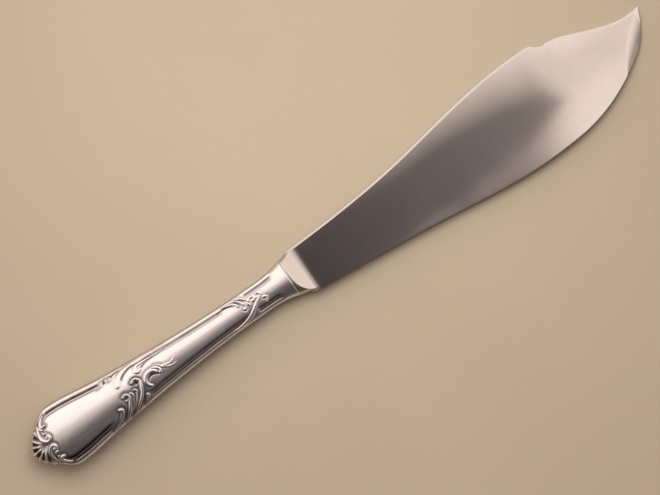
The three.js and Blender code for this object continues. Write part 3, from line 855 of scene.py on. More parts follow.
    def surface(self) -> tuple[Array, Array]:
        """Work out one struck face.

        Returns:
            Its points, rows by columns by three, and the tarnish in its hollows, with painted shade on its
            flanks and shaded sides.
        """
        form = self.form
        at = self.stations()
        plain = form.oval(at[:, None], self.section_angles(at))
        y = plain[..., 1]
        distance = np.broadcast_to(at[:, None], y.shape)
        normal = np.cross(np.gradient(plain, axis=1), np.gradient(plain, axis=0))
        normal[0] = (-1, 0, 0)
        normal /= np.linalg.norm(normal, axis=-1, keepdims=True)
        strokes, stain_and_shade = self.strokes(plain)
        border, bead, border_tarnish_and_shade = self.border(distance, y)
        flutes, flute_tarnish = self.flutes(distance, y)
        flat = 1 - np.clip(np.abs(strokes) / self.stroke_blend, 0, 1)
        height = strokes + flat * (border + flutes)
        into_mouth = ease(form.length - self.mouth_turn, form.length, distance)
        height = height - self.mouth_rounding * into_mouth**2
        height = np.maximum(height, -self.deepest)
        places = plain + normal * height[..., None]
        places[..., 2] += flat * bead
        places[..., 2] = np.maximum(places[..., 2], self.lip)
        places[:, [0, -1], 2] = self.lip
        places[-1, :, 0] = form.butt + form.length
        hollow = np.maximum(stain_and_shade, flat * np.maximum(border_tarnish_and_shade, flute_tarnish))
        # Tarnish on both flanks, which also serves as painted shade for their dark reflection.
        flank = self.flank_tarnish_and_shade * (1 - ease(0, self.flank_width, form.half_width(distance) - np.abs(y)))
        return places, np.maximum(blurred(hollow, self.tarnish_and_shade_blur), flank)

    def inner_body(self) -> Object:
        """Make the body of the handle's hollow, which the sheet leaves free.

        Returns:
            The closed body, a little longer than the handle at its mouth.
        """
        form = self.form
        ends = (self.cavity_start, form.length, form.length + self.cavity_overrun)
        at = spaced(ends, self.inner_pitches)
        angle = np.linspace(0, 2 * math.pi, self.inner_columns + 1)
        mesh = grid_mesh(form.oval(at[:, None], angle[None, :], self.sheet))
        bmesh.ops.remove_doubles(mesh, verts=mesh.verts[:], dist=TOUCH)
        bmesh.ops.holes_fill(mesh, edges=open_edges(mesh), sides=0)
        outward(mesh)
        return to_object("handle_hollow", mesh)

    def front(self) -> Object:
        """Make the front shell: the struck face, closed below and hollowed to its sheet.

        Returns:
            The shell's object, in metres, with tarnish and painted shade stored on its points.
        """
        places, hollow = self.surface()
        mesh = grid_mesh(places)
        bmesh.ops.remove_doubles(mesh, verts=mesh.verts[:], dist=TOUCH)
        mouth = self.form.butt + self.form.length
        rim = open_edges(mesh)
        at_mouth = [e for e in rim if all(abs(v.co.x - mouth) < TOUCH for v in e.verts)]
        seam = [e for e in rim if e not in set(at_mouth)]
        corners = [v for v in {v for e in at_mouth for v in e.verts} if abs(v.co.z - self.lip) < TOUCH]
        sill = mesh.edges.new(corners)
        bmesh.ops.edgeloop_fill(mesh, edges=[*at_mouth, sill])
        bmesh.ops.edgeloop_fill(mesh, edges=[*seam, sill])
        outward(mesh)
        piece = to_object(Strike.FRONT.value + "_struck", mesh)
        joined(piece, self.inner_body(), "DIFFERENCE")
        store_tarnish_and_shade(piece, places, hollow)
        piece.data.transform(Matrix.Scale(MM, 4))
        shaded(piece, self.crease)
        return piece

    def back(self, front: Object) -> Object:
        """Strike the same die again and turn that shell over.

        Args:
            front: The front shell.

        Returns:
            The back shell's object.
        """
        data = front.data.copy()
        data.transform(Matrix.Rotation(math.pi, 4, "X"))
        return linked(Strike.BACK.value + "_struck", data)

    def build(self, silver: Material) -> list[Object]:
        """Make both shells and dress them.

        Args:
            silver: The handle's finish.

        Returns:
            The front and the back shell.
        """
        front = self.front()
        back = self.back(front)
        for strike, piece in ((Strike.FRONT, front), (Strike.BACK, back)):
            dressed(piece, silver, strike.value)
        return [front, back]


def offset_from_line(places: Array, line: Array) -> tuple[Array, Array]:
    """Measure points to a line of short straight steps.

    Args:
        places: Points, one row each.
        line: The line's points in order.

    Returns:
        Each point's distance, negative to the right of the line seen from above, and the share
        of the line's length at its nearest place.
    """
    steps = np.diff(line, axis=0)
    lengths = np.linalg.norm(steps, axis=1)
    starts = np.concatenate([[0], np.cumsum(lengths)])
    nearest = np.full(len(places), np.inf)
    share = np.zeros(len(places))
    for start, step, length, travelled in zip(line, steps, lengths, starts):
        along = np.clip((places - start) @ step / length**2, 0, 1)
        off = places - start - along[:, None] * step
        distance = np.linalg.norm(off, axis=1)
        closer = distance < np.abs(nearest)
        left = step[0] * off[:, 1] - step[1] * off[:, 0] >= 0
        nearest[closer] = np.where(left, distance, -distance)[closer]
        share[closer] = (travelled + along * length)[closer] / starts[-1]
    return nearest, share


def store_tarnish_and_shade(piece: Object, places: Array, hollow: Array, reach: float = 1e-3) -> None:
    """Keep the tarnish and painted shade of the struck face on the points of its finished mesh.

    Args:
        piece: The finished shell.
        places: Points of the struck face.
        hollow: Tarnish and painted shade at each of those points.
        reach: How far from such a point the mesh still counts as the struck face.
    """
    flat_places = places.reshape(-1, 3)
    flat_hollow = hollow.ravel()
    tree = KDTree(len(flat_places))
    for index, place in enumerate(flat_places):
        tree.insert(place, index)
    tree.balance()
    values = np.zeros(len(piece.data.vertices), np.float32)
    for vertex in piece.data.vertices:
        _, index, distance = tree.find(vertex.co)
        values[vertex.index] = flat_hollow[index] if distance < reach else 0
    attribute = piece.data.attributes.new(TARNISH_AND_SHADE, "FLOAT", "POINT")
    attribute.data.foreach_set("value", values)


def dressed(piece: Object, finish: Material, node: str) -> None:
    """Give a piece its finish and its place in the frame.

    Args:
        piece: The new piece.
        finish: Its material.
        node: The solid that the piece stands for.
    """
    piece.data.materials.clear()
    piece.data.materials.append(finish)
    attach(piece, BODY)
    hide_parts(node)


@dataclass
class ForgedBlade:
    """The steel blade with its bolster, sloped heel, notched back and tang.

    Places run from the bolster's face, or, where they are negative, back from the tip. A knot
    of an outline is its place, its distance from the middle line and its slope.
    """

    bolster: float
    length: float
    bolster_half_width: float = 7.6
    bolster_half_height: float = 5.1
    bolster_power: float = 2.4
    bolster_flare: float = 0.2
    bolster_edge_slope: float = -0.1
    facet_start: float = 0.75
    facet_foot: float = 5.3
    settle_angle: float = 9.0
    settle_length: float = 2.6
    run_out: float = 1.8
    heel_cover: float = 0.45
    plate_root: float = 2.0
    plate_root_half_width: float = 6.8
    root_slopes: Point = (1.3, -1.2)
    heel_back: Knot = (5.0, 8.9, 0.03)
    heel_edge: Knot = (7.0, -9.9, -0.08)
    mid_back: Point = (13.4, 0.16)
    mid_edge: Point = (-14.4, -0.11)
    crest: Knot = (-49.3, 20.4, 0.0)
    notch: Knot = (-42.4, 20.1, -0.15)
    notch_length: float = 4.7
    notch_drop: float = 2.65
    notch_slopes: Point = (-0.9, 0.08)
    swoop: Knot = (-24.0, 13.8, -0.42)
    hollow: Knot = (-5.5, 8.7, 0.0)
    belly: Knot = (-62.0, -19.4, 0.0)
    sweep: Knot = (-26.0, -13.7, 0.42)
    point: Knot = (-9.0, -4.1, 0.74)
    tip: float = 9.2
    tip_slopes: Point = (0.2, 2.1)
    tip_blunt: float = 0.15
    heel_half_thickness: float = 1.25
    distal_length: float = 45.0
    distal_half_thickness: float = 0.85
    tip_half_thickness: float = 0.72
    thickness_blend: float = 0.03
    full_width: float = 5.0
    edge_half_thickness: float = 0.16
    grind_power: float = 3.0
    heel_edge_half_thickness: float = 0.8
    blunt_span: Point = (5.0, 70.0)
    grinding_reach: float = 12.0
    grinding_steps: int = 7
    evened: Stretch = (-105.0, -85.0, -38.0, -24.0)
    unground: Point = (-85.0, -14.0)
    back_rounding: float = 1.0
    back_rounding_share: float = 0.25
    back_side_share: float = 0.5
    crown: float = 0.223
    crown_rise: Point = (25.0, 90.0)
    crown_fall: Point = (-30.0, -5.0)
    tip_facet_root: Knot = (-17.5, -8.0, 1.5)
    tip_facet_bow: Knot = (-9.3, 2.2, 1.05)
    tip_facet_end: float = 0.7
    tip_facet_slope: float = 0.07
    tip_facet_twist: float = 0.0015
    tip_facet_hollow: float = 0.0016
    corner: float = 0.12
    join: float = 0.015
    face_rounding: float = 0.18
    tang_length: float = 72.0
    tang_root: Point = (7.0, 3.6)
    tang_end: Point = (3.6, 2.2)
    tang_notch_count: int = 4
    tang_notch_radius: float = 0.9
    tang_notch_pitch: float = 12.0
    tang_notch_first: float = 0.75
    tang_notch_sides: int = 24
    crease: float = 32.0
    heel_rows: float = 12.0
    broad_rows: float = 108.0
    point_rows: float = 6.0
    row_pitches: tuple[float, ...] = (0.1, 0.14, 1.3, 0.3, 0.2, 0.8, 0.25)
    columns: int = 120
    column_crowding: float = 0.75

    def from_tip(self, places: Sequence[float]) -> tuple[float, ...]:
        """Turn places that run back from the tip into distances from the bolster's face."""
        return tuple(self.length + place for place in places)

    def tip_knot(self, knot: Knot) -> Knot:
        """Turn a knot whose place runs back from the tip into one from the bolster's face."""
        return (self.length + knot[0], *knot[1:])

    def facet_end(self) -> float:
        """Give the distance at which the slope has settled into the flat."""
        return self.facet_foot + self.settle_length

    def bolster_length(self) -> float:
        """Give the distance at which the bolster has run out into the blade."""
        return self.facet_end() + self.run_out

    def half_thickness(self, at: Array) -> Array:
        """Give the blade's half-thickness on its flat: the thinner of the heel's and the tip's tapers.

        Args:
            at: Distances from the bolster's face.

        Returns:
            Half-thicknesses.
        """
        distal_at = self.length - self.distal_length
        heel_fall = (self.heel_half_thickness - self.distal_half_thickness) / distal_at
        tip_fall = (self.distal_half_thickness - self.tip_half_thickness) / self.distal_length
        from_heel = self.heel_half_thickness - heel_fall * at
        to_tip = self.distal_half_thickness - tip_fall * (at - distal_at)
        return softer_min(from_heel, to_tip, self.thickness_blend)

    def edge_height(self, at: Array) -> Array:
        """Give the edge's half-thickness, blunt at the heel and thin from there on."""
        blunt = 1 - ease(*self.blunt_span, at)
        return self.edge_half_thickness + (self.heel_edge_half_thickness - self.edge_half_thickness) * blunt

    def back(self, at: Array, notched: bool = True) -> Array:
        """Give the back's outline: heel, crest, notch, swoop and upswept tip.

        Args:
            at: Distances from the bolster's face.
            notched: Whether the notch is cut, which the grinder's line runs past.

        Returns:
            Distances from the middle line.
        """
        crest, notch = self.tip_knot(self.crest), self.tip_knot(self.notch)
        to_crest = (
            (self.plate_root, self.plate_root_half_width, self.root_slopes[0]),
            self.heel_back,
            ((self.heel_back[0] + crest[0]) / 2, *self.mid_back),
            crest,
        )
        tip = (self.length, self.tip, self.tip_slopes[0])
        to_tip = (self.tip_knot(self.swoop), self.tip_knot(self.hollow), tip)
        if not notched:
            return follow((*to_crest, *to_tip), at)
        notch_at, top = notch[:2]
        fall, rise = self.notch_slopes
        notch_end = (notch_at + self.notch_length, top - self.notch_drop, rise)
        before = follow((*to_crest, notch), np.minimum(at, notch_at))
        past = follow(((notch_at, top, fall), notch_end, *to_tip), at)
        return np.where(at <= notch_at, before, past)

    def edge(self, at: Array) -> Array:
        """Give the edge's outline: heel, belly and the sweep up to the tip.

        Args:
            at: Distances from the bolster's face.

        Returns:
            Distances from the middle line, negative on the edge's side.
        """
        belly = self.tip_knot(self.belly)
        knots = (
            (self.plate_root, -self.plate_root_half_width, self.root_slopes[1]),
            self.heel_edge,
            ((self.heel_edge[0] + belly[0]) / 2, *self.mid_edge),
            belly,
            self.tip_knot(self.sweep),
            self.tip_knot(self.point),
            (self.length, self.tip, self.tip_slopes[1]),
        )
        return follow(knots, at)

    def grinding_line(self, at: Array) -> Array:
        """Give the edge as the grinder follows it, which evens out the bend at the belly.

        Args:
            at: Distances from the bolster's face.

        Returns:
            Distances from the middle line.
        """
        reach = self.grinding_reach * within(self.from_tip(self.evened), at)
        steps = np.linspace(-1, 1, self.grinding_steps)
        return sum(self.edge(at + step * reach) for step in steps) / len(steps)

    def bolster_sides(self, at: Array) -> tuple[Array, Array]:
        """Give the bolster's outline on the back side and on the edge side.

        Args:
            at: Distances from the bolster's face.

        Returns:
            Distances from the middle line on each side.
        """
        end = self.bolster_length()
        held = np.clip(at, 0, end)
        root = (0, self.bolster_half_width, self.bolster_flare)
        to_back = (root, (end, self.heel_back[1] - self.heel_cover, 0))
        edge_end = (end, self.heel_edge[1] + self.heel_cover, self.bolster_edge_slope)
        to_edge = ((0, -self.bolster_half_width, -self.bolster_flare), edge_end)
        return follow(to_back, held), follow(to_edge, held)

    def outline(self, at: Array) -> tuple[Array, Array]:
        """Give the whole outline, which is the bolster's or the plate's, whichever is wider.

        Args:
            at: Distances from the bolster's face.

        Returns:
            Distances from the middle line on the back side and on the edge side.
        """
        bolster_back, bolster_edge = self.bolster_sides(at)
        plate = at >= self.plate_root
        on_plate = np.maximum(at, self.plate_root)
        plate_back, plate_edge = self.back(on_plate), self.edge(on_plate)
        back = np.where(plate, np.maximum(bolster_back, plate_back), bolster_back)
        edge = np.where(plate, np.minimum(bolster_edge, plate_edge), bolster_edge)
        past = at > self.bolster_length()
        return np.where(past, plate_back, back), np.where(past, plate_edge, edge)

    def facet(self, at: Array, floor: Array) -> Array:
        """Give the height of the heel's slope and of its settling into the ground face.

        Args:
            at: Distances from the bolster's face.
            floor: Heights of the ground face.

        Returns:
            Heights, which fall below the ground face past the slope's end.
        """
        sag = 0.5 * math.tan(math.radians(self.settle_angle)) / self.settle_length
        foot = self.heel_half_thickness + sag * self.settle_length**2
        fall = (self.bolster_half_height - foot) / (self.facet_foot - self.facet_start)
        left = self.facet_end() - at
        ramp = foot + fall * (self.facet_foot - at)
        return softer_max(ramp, floor + sag * left * np.abs(left), self.corner)

    def ground_face(self, at: Array, y: Array) -> Array:
        """Give the plate's face as ground: thin to the edge, faintly crowned, with a facet at the tip.

        Args:
            at: Distances from the bolster's face.
            y: Distances from the middle line.

        Returns:
            Heights.
        """
        on_plate = np.maximum(at, self.plate_root)
        edge = self.grinding_line(on_plate)
        middle = (self.back(on_plate, notched=False) + edge) / 2
        width = 2 * (middle - edge)
        thin = self.edge_height(at)
        flat = thin + (self.half_thickness(at) - thin) * np.minimum(1, width / self.full_width)
        crown = self.crown * within((*self.crown_rise, *self.from_tip(self.crown_fall)), at)
        flat = flat - crown * (2 * (y - middle) / width) ** 2
        ground = (1 - np.clip((y - edge) / width, 0, 1)) ** self.grind_power
        unground = ease(*self.from_tip(self.unground), at)
        tapered = flat - (flat - thin) * ground * (1 - unground)
        line = self.tip_facet(at)
        below = np.clip(line - y, 0, None)
        slope = self.tip_facet_slope + self.tip_facet_twist * line
        drop = slope * below + self.tip_facet_hollow * below**2
        return np.maximum(tapered - drop, self.edge_half_thickness / 2)

    def tip_facet(self, at: Array) -> Array:
        """Give the line along which the facet at the tip leaves the ground face.

        Args:
            at: Distances from the bolster's face.

        Returns:
            Distances from the middle line.
        """
        root, bow = self.tip_knot(self.tip_facet_root), self.tip_knot(self.tip_facet_bow)
        start, height, slope = root
        past = follow((root, bow, (self.length, self.tip, self.tip_facet_end)), np.maximum(at, start))
        return np.where(at < start, height + slope * (at - start), past)

    def plate_height(self, at: Array, y: Array) -> Array:
        """Give the plate's upper surface: its ground face with a rounded back, and 0 outside it.

        Args:
            at: Distances from the bolster's face.
            y: Distances from the middle line.

        Returns:
            Heights.
        """
        on_plate = np.maximum(at, self.plate_root)
        back, edge = self.back(on_plate), self.edge(on_plate)
        rounding = np.minimum(self.back_rounding, self.back_rounding_share * (back - edge))
        into_back = np.clip((back - y) / rounding, 0, 1)
        arc = np.sqrt(1 - (1 - into_back) ** 2)
        rounded = self.ground_face(at, y) * (self.back_side_share + (1 - self.back_side_share) * arc)
        inside = (at >= self.plate_root) & (y <= back + SLACK) & (y >= edge - SLACK)
        return np.where(inside, rounded, 0)

    def bolster_height(self, at: Array, y: Array) -> Array:
        """Give the bolster's upper surface: an oval block cut by the heel's slope.

        Args:
            at: Distances from the bolster's face.
            y: Distances from the middle line.

        Returns:
            Heights.
        """
        back, edge = self.bolster_sides(at)
        across = np.clip(np.abs(y - (back + edge) / 2) / ((back - edge) / 2), 0, 1)
        rounding = self.face_rounding * (1 - ease(0, 2 * self.face_rounding, at)) ** 2
        power = self.bolster_power
        oval = (self.bolster_half_height - rounding) * (1 - across**power) ** (1 / power)
        cut = softer_min(oval, self.facet(at, self.ground_face(at, y)), self.corner)
        return np.clip(np.where(at < self.facet_start / 2, oval, cut), 0, None)

    def upper_surface(self) -> Array:
        """Work out the blade's upper half.

        Returns:
            Its points, rows by columns by three.
        """
        notch_at = self.length + self.notch[0]
        to_notch = (0.0, self.plate_root, self.heel_rows, self.broad_rows, notch_at)
        to_tip = (self.length - self.point_rows, self.length - self.tip_blunt)
        at = spaced((*to_notch, notch_at + self.notch_length, *to_tip), self.row_pitches)[:, None]
        back, edge = self.outline(at)
        step = np.linspace(0, 1, self.columns + 1)[None, :]
        crowded = 0.5 - 0.5 * np.cos(math.pi * step)
        share = step + self.column_crowding * (crowded - step)
        y = back + (edge - back) * share
        at = np.broadcast_to(at, y.shape)
        plate = self.plate_height(at, y)
        height = softer_max(plate, self.bolster_height(at, y), self.join)
        height = np.where(at > self.bolster_length(), plate, height)
        height = np.maximum(height, self.edge_half_thickness / 2)
        return np.stack([self.bolster + at, y, height], axis=-1)

    def tang(self) -> Object:
        """Make the tapered tang that the cement grips, from a block drawn out at one end.

        Returns:
            The tang with its notches.
        """
        mesh = bmesh.new()
        bmesh.ops.create_cube(mesh, size=1.0)
        for vertex in mesh.verts:
            far = vertex.co.x < 0
            width, thickness = self.tang_end if far else self.tang_root
            vertex.co.x = self.bolster - self.tang_length if far else self.bolster + self.plate_root
            vertex.co.y *= width
            vertex.co.z *= thickness
        piece = to_object("tang_bar", mesh)
        for index in range(self.tang_notch_count):
            back = self.tang_length - self.tang_notch_pitch * (index + self.tang_notch_first)
            side = 1 if index % 2 == 0 else -1
            width = self.tang_root[0] + (self.tang_end[0] - self.tang_root[0]) * back / self.tang_length
            cutter = bmesh.new()
            bmesh.ops.create_cone(
                cutter,
                cap_ends=True,
                segments=self.tang_notch_sides,
                radius1=self.tang_notch_radius,
                radius2=self.tang_notch_radius,
                depth=2 * self.tang_root[1],
            )
            bmesh.ops.translate(cutter, verts=cutter.verts[:], vec=(self.bolster - back, side * width / 2, 0))
            joined(piece, to_object("tang_notch", cutter), "DIFFERENCE")
        return piece

    def build(self, steel: Material) -> Object:
        """Make the blade: its upper half, walls down to the middle plane, their mirror, and the tang.

        Args:
            steel: The blade's finish.

        Returns:
            The blade's object.
        """
        mesh = grid_mesh(self.upper_surface())
        wall = bmesh.ops.extrude_edge_only(mesh, edges=open_edges(mesh))
        for vertex in wall["geom"]:
            if isinstance(vertex, bmesh.types.BMVert):
                vertex.co.z = 0
        everything = [*mesh.verts, *mesh.edges, *mesh.faces]
        bmesh.ops.mirror(mesh, geom=everything, matrix=Matrix.Identity(4), merge_dist=TOUCH, axis="Z")
        outward(mesh)
        piece = to_object("blade_forged", mesh)
        joined(piece, self.tang(), "UNION")
        piece.data.transform(Matrix.Scale(MM, 4))
        shaded(piece, self.crease)
        dressed(piece, steel, "blade")
        return piece


class Nodes:
    """A material's or world's node tree, with short calls to add and link its nodes."""

    def __init__(self, owner: bpy.types.ID) -> None:
        """Start an empty tree on a material or a world.

        Args:
            owner: The material or world.
        """
        owner.use_nodes = True
        self.tree = owner.node_tree
        self.tree.nodes.clear()

    def add(self, kind: str, inputs: dict | None = None, **settings: object) -> bpy.types.Node:
        """Add a node.

        Args:
            kind: The node's type.
            inputs: Values or output sockets for its inputs, by name or number.
            settings: The node's own properties.

        Returns:
            The new node.
        """
        node = self.tree.nodes.new(kind)
        for name, value in settings.items():
            setattr(node, name, value)
        for name, value in (inputs or {}).items():
            if isinstance(value, Socket):
                self.tree.links.new(value, node.inputs[name])
            else:
                node.inputs[name].default_value = value
        return node

    def noise(self, vector: Socket, scale: float, detail: float) -> Socket:
        """Add soft noise and give its value."""
        inputs = {"Vector": vector, "Scale": scale, "Detail": detail}
        return self.add("ShaderNodeTexNoise", inputs).outputs["Fac"]

    def stretched(self, scale: Sequence[float]) -> Socket:
        """Give the object's coordinates, scaled on each axis.

        Args:
            scale: Factors along the three axes.

        Returns:
            The scaled coordinates.
        """
        place = self.add("ShaderNodeTexCoord").outputs["Object"]
        inputs = {"Vector": place, "Scale": tuple(scale)}
        return self.add("ShaderNodeMapping", inputs).outputs["Vector"]

    def streaks(self, scale: Sequence[float], detail: float) -> Socket:
        """Add soft noise with its own scale on each axis and give its value."""
        return self.noise(self.stretched(scale), 1, detail)

    def ranged(self, value: Socket, span: Point, to: Point, smooth: bool = False) -> Socket:
        """Map a value from one range to another, held at the ends.

        Args:
            value: The value.
            span: The range that it comes from.
            to: The range that it goes to.
            smooth: Whether it starts and ends softly.

        Returns:
            The mapped value.
        """
        inputs = {0: value, 1: span[0], 2: span[1], 3: to[0], 4: to[1]}
        kind = "SMOOTHSTEP" if smooth else "LINEAR"
        return self.add("ShaderNodeMapRange", inputs, interpolation_type=kind).outputs[0]

    def math(self, operation: str, a: object, b: object) -> Socket:
        """Join two values by an arithmetic operation."""
        return self.add("ShaderNodeMath", {0: a, 1: b}, operation=operation).outputs[0]

    def mixed(self, share: Socket, a: object, b: object) -> Socket:
        """Mix two colours, written or from sockets, by a share.

        Args:
            share: The second colour's share.
            a: The first colour.
            b: The second colour.

        Returns:
            The mixed colour.
        """
        node = self.add("ShaderNodeMix", {"Factor": share}, data_type="RGBA")
        colours = [socket for socket in node.inputs if socket.type == "RGBA"]
        for socket, value in zip(colours, (a, b)):
            if isinstance(value, Socket):
                self.tree.links.new(value, socket)
            else:
                socket.default_value = (*value, 1)
        return next(socket for socket in node.outputs if socket.type == "RGBA")

    def bumped(self, height: Socket, strength: float, depth: float) -> Socket:
        """Turn a height into a fine unevenness of the surface."""
        inputs = {"Height": height, "Strength": strength, "Distance": depth}
        return self.add("ShaderNodeBump", inputs).outputs["Normal"]

    def surface(self, inputs: dict) -> None:
        """End a material with one principled surface."""
        shader = self.add("ShaderNodeBsdfPrincipled", inputs)
        self.add("ShaderNodeOutputMaterial", {"Surface": shader.outputs["BSDF"]})


def started(name: str) -> tuple[Material, Nodes, Socket]:
    """Start a finish.

    Args:
        name: The material's name.

    Returns:
        The material, its nodes and the coordinates of the piece that wears it.
    """
    material = bpy.data.materials.new(name)
    nodes = Nodes(material)
    return material, nodes, nodes.stretched((1, 1, 1))


@dataclass(frozen=True)
class SilverFinish:
    """Polished silver, worn soft with use, dark with tarnish in its hollows, and with painted shade on its
    flanks and shaded sides.
    """

    clean: Colour = (0.855, 0.865, 0.87)
    warm: Colour = (0.83, 0.805, 0.79)
    tarnish: Colour = (0.045, 0.033, 0.029)
    sheen: Colour = (1.0, 1.0, 1.0)
    tarnish_and_shade_sheen: Colour = (0.12, 0.1, 0.09)
    roughness: float = 0.28
    tarnish_and_shade_roughness: float = 0.45
    full_tarnish_and_shade: float = 0.85
    patchiness: Point = (0.8, 1.0)
    cloud: Noise = (160, 3)
    warm_span: Point = (0.45, 0.8)
    warmth: float = 0.4
    fine: Noise = (2600, 2)
    hairlines: Streaks = ((90, 1900, 1900), 3)
    hairline_span: Point = (0.35, 0.75)
    hairline_share: float = 0.7
    scuffing: Point = (-0.01, 0.02)
    unevenness: Point = (0.018, 0.00004)

    def material(self) -> Material:
        """Make the finish as a material.

        Returns:
            The new material.
        """
        material, nodes, place = started("worn_silver")
        cloud = nodes.noise(place, *self.cloud)
        fine = nodes.noise(place, *self.fine)
        hairlines = nodes.streaks(*self.hairlines)
        # The stored tarnish and painted shade darken the silver's colour and its sheen.
        hollow = nodes.add("ShaderNodeAttribute", attribute_name=TARNISH_AND_SHADE).outputs["Fac"]
        patchy = nodes.math("MULTIPLY", hollow, nodes.ranged(cloud, NOISE_SPAN, self.patchiness))
        polished = nodes.mixed(nodes.ranged(cloud, self.warm_span, (0, self.warmth)), self.clean, self.warm)
        covered = nodes.ranged(patchy, (0, self.full_tarnish_and_shade), (0, 1))
        colour = nodes.mixed(covered, polished, self.tarnish)
        worn = nodes.ranged(patchy, (0, 1), (self.roughness, self.tarnish_and_shade_roughness))
        scuffed = nodes.math("ADD", worn, nodes.ranged(hairlines, self.hairline_span, self.scuffing))
        lines = nodes.math("MULTIPLY", hairlines, self.hairline_share)
        height = nodes.math("ADD", lines, nodes.math("MULTIPLY", fine, 1 - self.hairline_share))
        nodes.surface({
            "Base Color": colour,
            "Metallic": 1.0,
            "Specular Tint": nodes.mixed(covered, self.sheen, self.tarnish_and_shade_sheen),
            "Roughness": scuffed,
            "Normal": nodes.bumped(height, *self.unevenness),
        })
        return material


@dataclass(frozen=True)
class SteelFinish:
    """Satin blade steel, ground across its width, with faint stains and fine scratches.

    Attributes:
        satin_end: Where the bolster's duller finish ends along the knife, in metres.
    """

    satin_end: float
    bright: Colour = (0.622, 0.612, 0.573)
    dull: Colour = (0.558, 0.546, 0.515)
    roughness: Point = (0.045, 0.07)
    satin: float = 0.24
    satin_fade: float = 0.003
    cloud: Noise = (70, 4)
    clouding: float = 0.6
    grain: Streaks = ((2600, 170, 170), 4)
    grain_span: Point = (0.25, 0.75)
    graining: float = 0.3
    scratches: Streaks = ((60, 1500, 1500), 2)
    scratch_share: float = 0.4
    specks: Noise = (1400, 2)
    speck_span: Point = (0.70, 0.80)
    speck_strength: float = 0.35
    speck: Colour = (0.33, 0.30, 0.28)
    unevenness: Point = (0.015, 0.00003)

    def material(self) -> Material:
        """Make the finish as a material.

        Returns:
            The new material.
        """
        material, nodes, place = started("satin_steel")
        cloud = nodes.noise(place, *self.cloud)
        grain = nodes.streaks(*self.grain)
        scratches = nodes.streaks(*self.scratches)
        specks = nodes.noise(place, *self.specks)
        stained = nodes.ranged(cloud, NOISE_SPAN, (0, self.clouding))
        share = nodes.math("ADD", stained, nodes.ranged(grain, NOISE_SPAN, (0, self.graining)))
        colour = nodes.mixed(share, self.bright, self.dull)
        spots = nodes.ranged(specks, self.speck_span, (0, self.speck_strength))
        spotted = nodes.mixed(spots, colour, self.speck)
        height = nodes.math("ADD", grain, nodes.math("MULTIPLY", scratches, self.scratch_share))
        along = nodes.add("ShaderNodeSeparateXYZ", {"Vector": place}).outputs["X"]
        fade = (self.satin_end - self.satin_fade, self.satin_end)
        satin = nodes.ranged(along, fade, (self.satin, 0), True)
        nodes.surface({
            "Base Color": spotted,
            "Metallic": 1.0,
            "Roughness": nodes.math("ADD", nodes.ranged(grain, self.grain_span, self.roughness), satin),
            "Normal": nodes.bumped(height, *self.unevenness),
        })
        return material


@dataclass(frozen=True)
class PlainMetal:
    """Metal that is only seen edge-on or inside: the solder line and the mouth cap."""

    name: str
    light: Colour
    dark: Colour
    roughness: Point
    cloud: Noise = (420, 4)
    dark_span: Point = (0.35, 0.7)
    fine: Noise = (3000, 2)
    unevenness: Point = (0.15, 0.00004)

    def material(self) -> Material:
        """Make the finish as a material.

        Returns:
            The new material.
        """
        material, nodes, place = started(self.name)
        cloud = nodes.noise(place, *self.cloud)
        fine = nodes.noise(place, *self.fine)
        nodes.surface({
            "Base Color": nodes.mixed(nodes.ranged(cloud, self.dark_span, (0, 1)), self.light, self.dark),
            "Metallic": 1.0,
            "Roughness": nodes.ranged(cloud, NOISE_SPAN, self.roughness),
            "Normal": nodes.bumped(fine, *self.unevenness),
        })
        return material


@dataclass(frozen=True)
class CementFinish:
    """Set pitch and plaster cement, dull and grainy."""

    light: Colour = (0.115, 0.078, 0.05)
    dark: Colour = (0.05, 0.034, 0.023)
    lumps: Noise = (500, 5)
    lump_span: Point = (0.35, 0.65)
    grains: Noise = (2200, 3)
    roughness: Point = (0.75, 0.95)
    unevenness: Point = (0.5, 0.0002)

    def material(self) -> Material:
        """Make the finish as a material.

        Returns:
            The new material.
        """
        material, nodes, place = started("handle_cement_fill")
        lumps = nodes.noise(place, *self.lumps)
        grains = nodes.noise(place, *self.grains)
        nodes.surface({
            "Base Color": nodes.mixed(nodes.ranged(lumps, self.lump_span, (0, 1)), self.light, self.dark),
            "Roughness": nodes.ranged(grains, NOISE_SPAN, self.roughness),
            "Normal": nodes.bumped(grains, *self.unevenness),
        })
        return material


@dataclass(frozen=True)
class FloorFinish:
    """A plain warm beige board."""

    light: Colour = (0.425, 0.367, 0.275)
    dark: Colour = (0.40, 0.344, 0.256)
    cloud: Noise = (9, 3)
    fibre: Noise = (1500, 2)
    roughness: Point = (0.55, 0.68)
    gloss: float = 0.25
    unevenness: Point = (0.06, 0.0001)

    def material(self) -> Material:
        """Make the finish as a material.

        Returns:
            The new material.
        """
        material, nodes, place = started("beige_board")
        cloud = nodes.noise(place, *self.cloud)
        fibre = nodes.noise(place, *self.fibre)
        nodes.surface({
            "Base Color": nodes.mixed(nodes.ranged(cloud, NOISE_SPAN, (0, 1)), self.light, self.dark),
            "Roughness": nodes.ranged(fibre, NOISE_SPAN, self.roughness),
            "Specular IOR Level": self.gloss,
            "Normal": nodes.bumped(fibre, *self.unevenness),
        })
        return material


